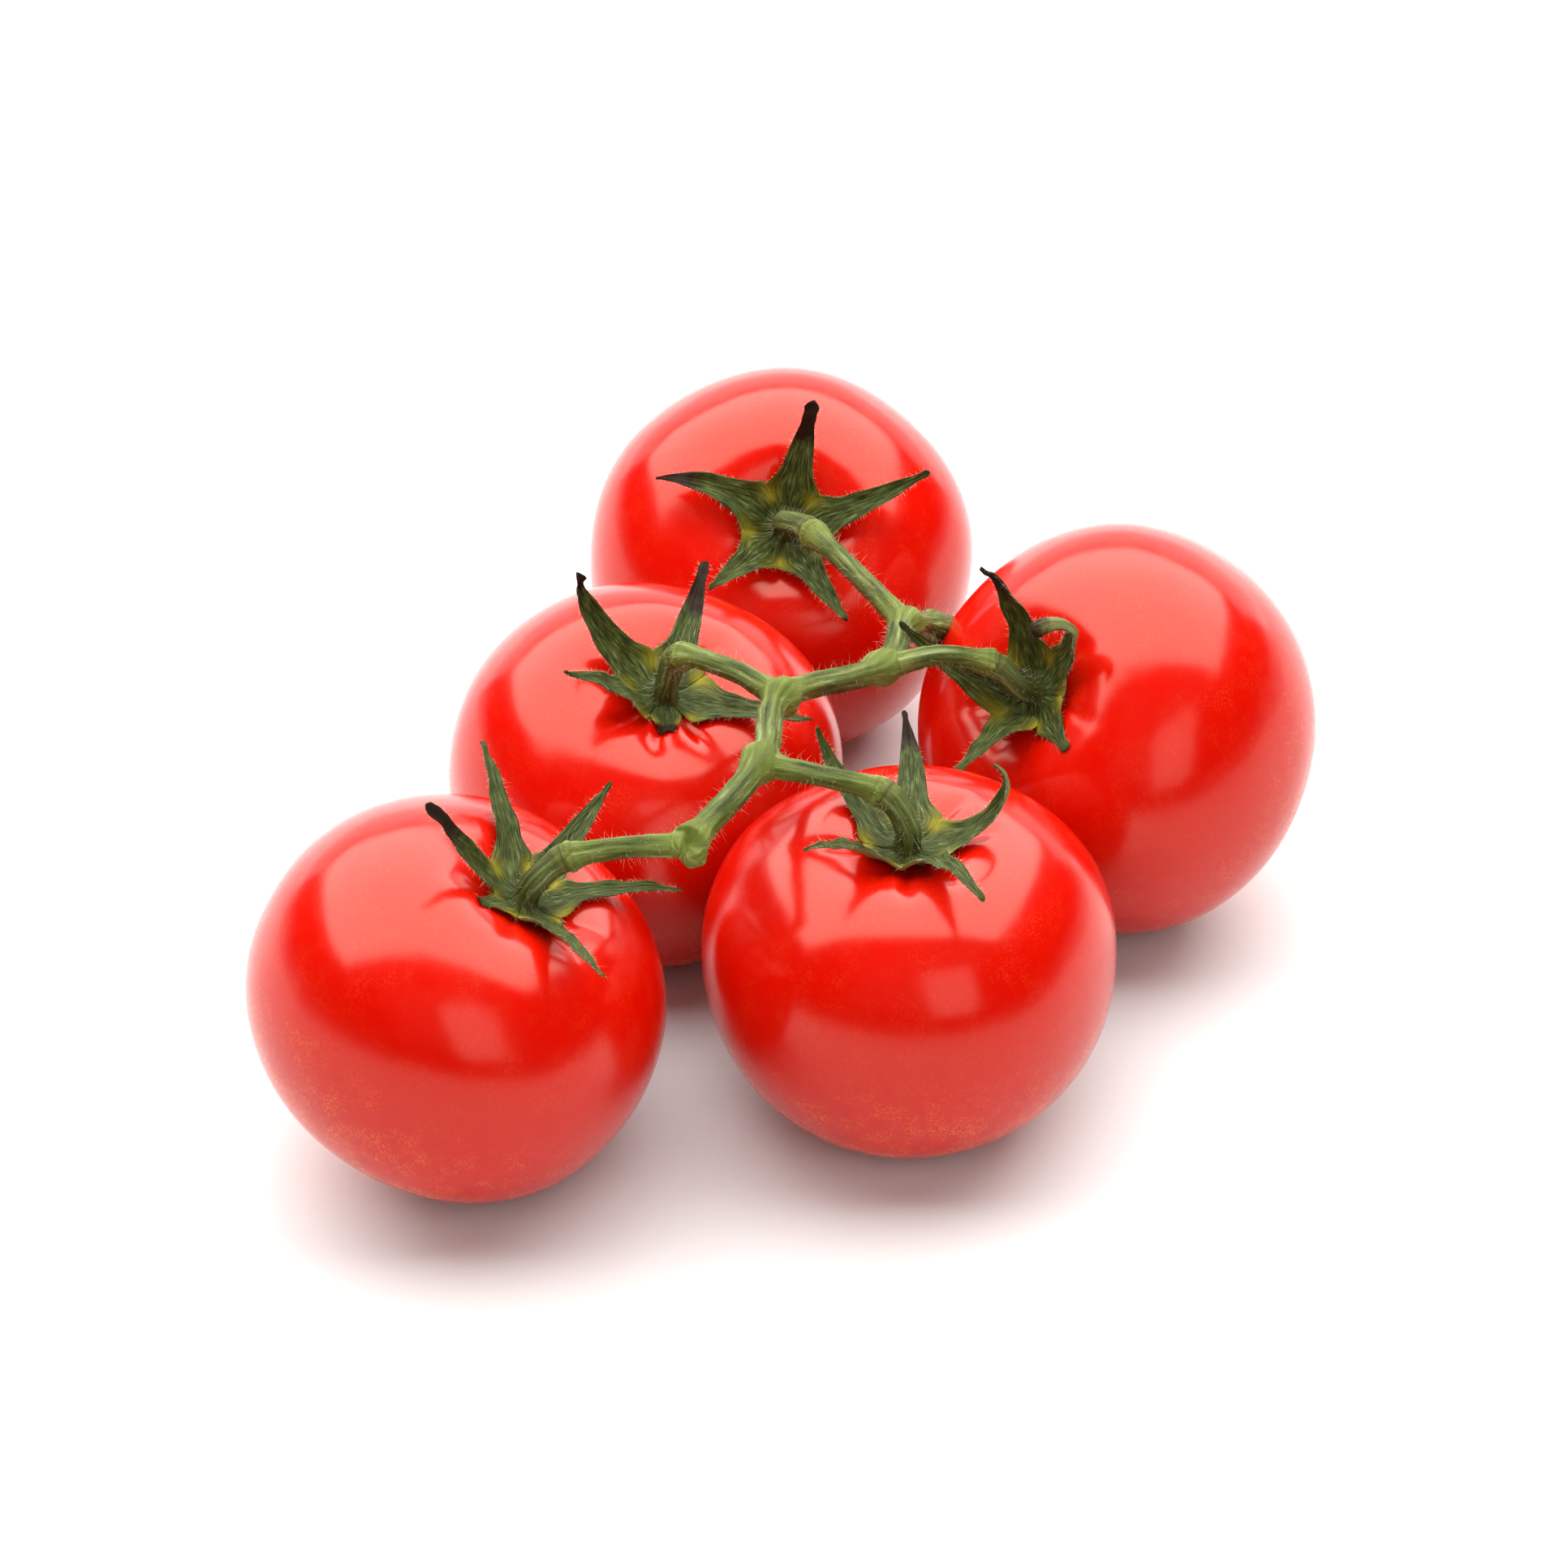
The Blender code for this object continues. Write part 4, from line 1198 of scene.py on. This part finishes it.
def hair_mesh(name, roots, ways, lengths, thickness, seed):
    """Fine tapered threads: each bends sideways with the square of the way along it.

    A thread is four three-sided rings that shrink to a point, closed at both ends.
    """
    rng = np.random.default_rng(seed)
    count = len(roots)
    ways = unit(ways)
    side = unit(np.cross(ways, rng.normal(size=(count, 3))))
    other = np.cross(ways, side)
    bend = rng.normal(0, 0.45, count)
    sag = rng.uniform(-0.25, 0.05, count)
    t = np.linspace(0, 1, 5)
    lengths = lengths[:, None, None]
    spine = (
        roots[:, None, :]
        + ways[:, None, :] * t[None, :, None] * lengths
        + side[:, None, :] * (bend[:, None, None] * t[None, :, None] ** 2) * lengths
        + np.array([0, 0, 1.0]) * (sag[:, None, None] * t[None, :, None] ** 2) * lengths
    )
    angle = np.array([0, 2, 4]) * math.pi / 3
    round_way = (
        side[:, None, :] * np.cos(angle)[None, :, None]
        + other[:, None, :] * np.sin(angle)[None, :, None]
    )
    width = thickness / 2 * (1 - 0.8 * t)
    rings = spine[:, :, None, :] + round_way[:, None, :, :] * width[None, :, None, None]
    points = np.concatenate([
        rings.reshape(count, -1, 3), spine[:, :1],
        spine[:, -1:] + (spine[:, -1:] - spine[:, -2:-1]) * 0.2,
    ], axis=1)
    quads, fans = tube_faces(5, 3)
    per = points.shape[1]
    offsets = (np.arange(count) * per)[:, None, None]
    return make_mesh(
        name, points.reshape(-1, 3), (quads[None] + offsets).reshape(-1, 4),
        (fans[None] + offsets).reshape(-1, 3),
    )


def build_sepal_hairs(material):
    """Short hairs along both edges of every sepal, pointing away from its rib."""
    rng = np.random.default_rng(74)
    roots, ways = [], []
    for name, rows in SEPALS.items():
        fruit, tip = FRUITS[name], tipping(name)
        for number, (sepal, sides) in enumerate(zip(rows, sepal_sides(rows))):
            shell, _ = sepal_shell(sepal, sides, fruit, number + fruit["seed"])
            shell = shell[14:-2] @ tip.T + fruit_place(name)
            left, right = shell[:, 0], shell[:, 16]
            for edge, other in ((left, right), (right, left)):
                spot = rng.integers(0, len(edge), int(sepal["length"] * SEPAL_HAIRS_PER_MM))
                away = edge[spot] - other[spot]
                away /= np.linalg.norm(away, axis=1, keepdims=True) + 1e-9
                roots.append(edge[spot] - away * 0.05 * MM)
                ways.append(away + rng.normal(0, 0.35, away.shape))
    roots, ways = np.vstack(roots), np.vstack(ways)
    long = sizes().hair_length * (0.12 + 0.38 * rng.beta(1.2, 3.0, len(roots)))
    mesh = hair_mesh("sepal_hairs", roots, ways, long, SEPAL_HAIR_THICKNESS, 75)
    return add_piece("sepal_hairs", mesh, material)


def build_stem_hairs(material):
    """Hairs on the truss and the upper stalks, standing out from the surface at random."""
    rng = np.random.default_rng(71)
    courses = [(c["path"], c["radii"]) for c in stem_courses()[:-1]]
    for name in STALKS:
        _, upper = stalk_course(name)
        courses.append((upper, np.full(len(upper), 2.3 * MM)))
    lengths = np.array([way_along(path)[-1] for path, _ in courses])
    counts = np.round(lengths / lengths.sum() * sizes().stem_hairs).astype(int)
    roots, ways = [], []
    for (path, radii), count in zip(courses, counts):
        tangents, normals, others = path_frames(path)
        spot = rng.integers(2, len(path) - 2, count)
        angle = rng.uniform(0, 2 * math.pi, count)
        out = normals[spot] * np.cos(angle)[:, None] + others[spot] * np.sin(angle)[:, None]
        roots.append(path[spot] + out * (radii[spot] * 0.93)[:, None])
        ways.append(out + tangents[spot] * rng.normal(0, 0.3, (count, 1)))
    roots, ways = np.vstack(roots), np.vstack(ways)
    long = sizes().hair_length * (0.14 + 0.86 * rng.beta(1.1, 3.6, len(roots)))
    mesh = hair_mesh("stem_hairs", roots, ways, long, STEM_HAIR_THICKNESS, 72)
    return add_piece("stem_hairs", mesh, material)


# ---- Operators ----------------------------------------------------------------------------------


def material_named(name, maker):
    """The material of that name, made when it is first asked for."""
    return bpy.data.materials.get(name) or maker()


class TOMATO_OT_fruits(Operator):
    """Build the five fruits"""

    bl_idname = "tomato.fruits"
    bl_label = "Fruits"

    def execute(self, context):
        material = make_skin_material()
        for name in FRUITS:
            build_fruit(name, material)
        return {"FINISHED"}


class TOMATO_OT_truss(Operator):
    """Build the main stem with its lower stalks"""

    bl_idname = "tomato.truss"
    bl_label = "Truss Stem"

    def execute(self, context):
        build_truss(material_named("downy_tomato_stem", make_stem_material))
        return {"FINISHED"}


class TOMATO_OT_upper_stalks(Operator):
    """Build the stalks above the knuckles"""

    bl_idname = "tomato.upper_stalks"
    bl_label = "Upper Stalks"

    def execute(self, context):
        material = material_named("downy_tomato_stem", make_stem_material)
        for name in STALKS:
            build_upper_stalk(name, material)
        return {"FINISHED"}


class TOMATO_OT_calyxes(Operator):
    """Build the sepals round each stalk"""

    bl_idname = "tomato.calyxes"
    bl_label = "Calyxes"

    def execute(self, context):
        material = make_sepal_material()
        for name in SEPALS:
            build_calyx(name, material)
        return {"FINISHED"}


class TOMATO_OT_hairs(Operator):
    """Build the fine hairs"""

    bl_idname = "tomato.hairs"
    bl_label = "Hairs"

    def execute(self, context):
        material = make_hair_material()
        build_stem_hairs(material)
        build_sepal_hairs(material)
        return {"FINISHED"}


def area_light(name, place, target, width, height, watts, in_gloss):
    """A rectangular soft light at a place, turned to face its target."""
    data = bpy.data.lights.new(name, "AREA")
    data.shape = "RECTANGLE"
    data.size, data.size_y = width, height
    data.energy = watts
    lamp = bpy.data.objects.new(name, data)
    lamp.location = place
    lamp.rotation_euler = (Vector(target) - Vector(place)).to_track_quat("-Z", "Y").to_euler()
    lamp.visible_glossy = in_gloss
    bpy.context.scene.collection.objects.link(lamp)


class TOMATO_OT_studio(Operator):
    """Build the white floor, the soft lights and the camera"""

    bl_idname = "tomato.studio"
    bl_label = "Studio"

    def execute(self, context):
        scene = context.scene
        scene.view_settings.view_transform = "Standard"
        corners = np.array([[-1, -1, 0], [1, -1, 0], [1, 1, 0], [-1, 1, 0]]) * FLOOR_REACH
        floor = bpy.data.objects.new("floor", make_mesh("floor", corners, [[0, 1, 2, 3]]))
        floor.data.materials.append(make_floor_material())
        scene.collection.objects.link(floor)
        middle = (CAD_LOW + CAD_HIGH) / 2
        for name, (place, target, *rest) in LAMPS.items():
            area_light(name, place, target or (middle.x, middle.y, 0.04), *rest)
        world = bpy.data.worlds.new("studio_surround")
        world.use_nodes = True
        scene.world = world
        fill_world(world.node_tree)
        data = bpy.data.cameras.new("camera")
        data.lens = CAMERA_LENS
        data.sensor_width = 36.0
        data.clip_end = 100
        camera = bpy.data.objects.new("camera", data)
        tilt = math.radians(CAMERA_TILT)
        away = np.array([0, -math.cos(tilt), math.sin(tilt)]) * CAMERA_DISTANCE
        camera.location = np.array(CAMERA_AIM) + away
        camera.rotation_euler = (math.pi / 2 - tilt, 0, 0)
        scene.collection.objects.link(camera)
        scene.camera = camera
        return {"FINISHED"}


class TOMATO_PT_panel(Panel):
    """Sidebar panel that lists the steps and the sizes"""

    bl_idname = "TOMATO_PT_panel"
    bl_label = "Tomato Truss"
    bl_space_type = "VIEW_3D"
    bl_region_type = "UI"
    bl_category = "Tomato Truss"

    def draw(self, context):
        column = self.layout.column()
        for operator in OPERATORS:
            column.operator(operator.bl_idname, text=operator.bl_label)
        for group in (context.scene.tomato_sizes, context.scene.tomato_colours):
            for name in group.bl_rna.properties.keys():
                if name not in ("rna_type", "name"):
                    column.prop(group, name)


OPERATORS = (
    TOMATO_OT_fruits,
    TOMATO_OT_truss,
    TOMATO_OT_upper_stalks,
    TOMATO_OT_calyxes,
    TOMATO_OT_hairs,
    TOMATO_OT_studio,
)
CLASSES = (TomatoSizes, TomatoColours, *OPERATORS, TOMATO_PT_panel)


def register():
    for cls in CLASSES:
        bpy.utils.register_class(cls)
    bpy.types.Scene.tomato_sizes = PointerProperty(type=TomatoSizes)
    bpy.types.Scene.tomato_colours = PointerProperty(type=TomatoColours)


def unregister():
    del bpy.types.Scene.tomato_colours
    del bpy.types.Scene.tomato_sizes
    for cls in reversed(CLASSES):
        bpy.utils.unregister_class(cls)


def main():
    """Builds everything in order."""
    register()
    for operator in OPERATORS:
        getattr(bpy.ops.tomato, operator.bl_idname.split(".")[1])()
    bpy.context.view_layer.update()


if __name__ == "__main__":
    main()
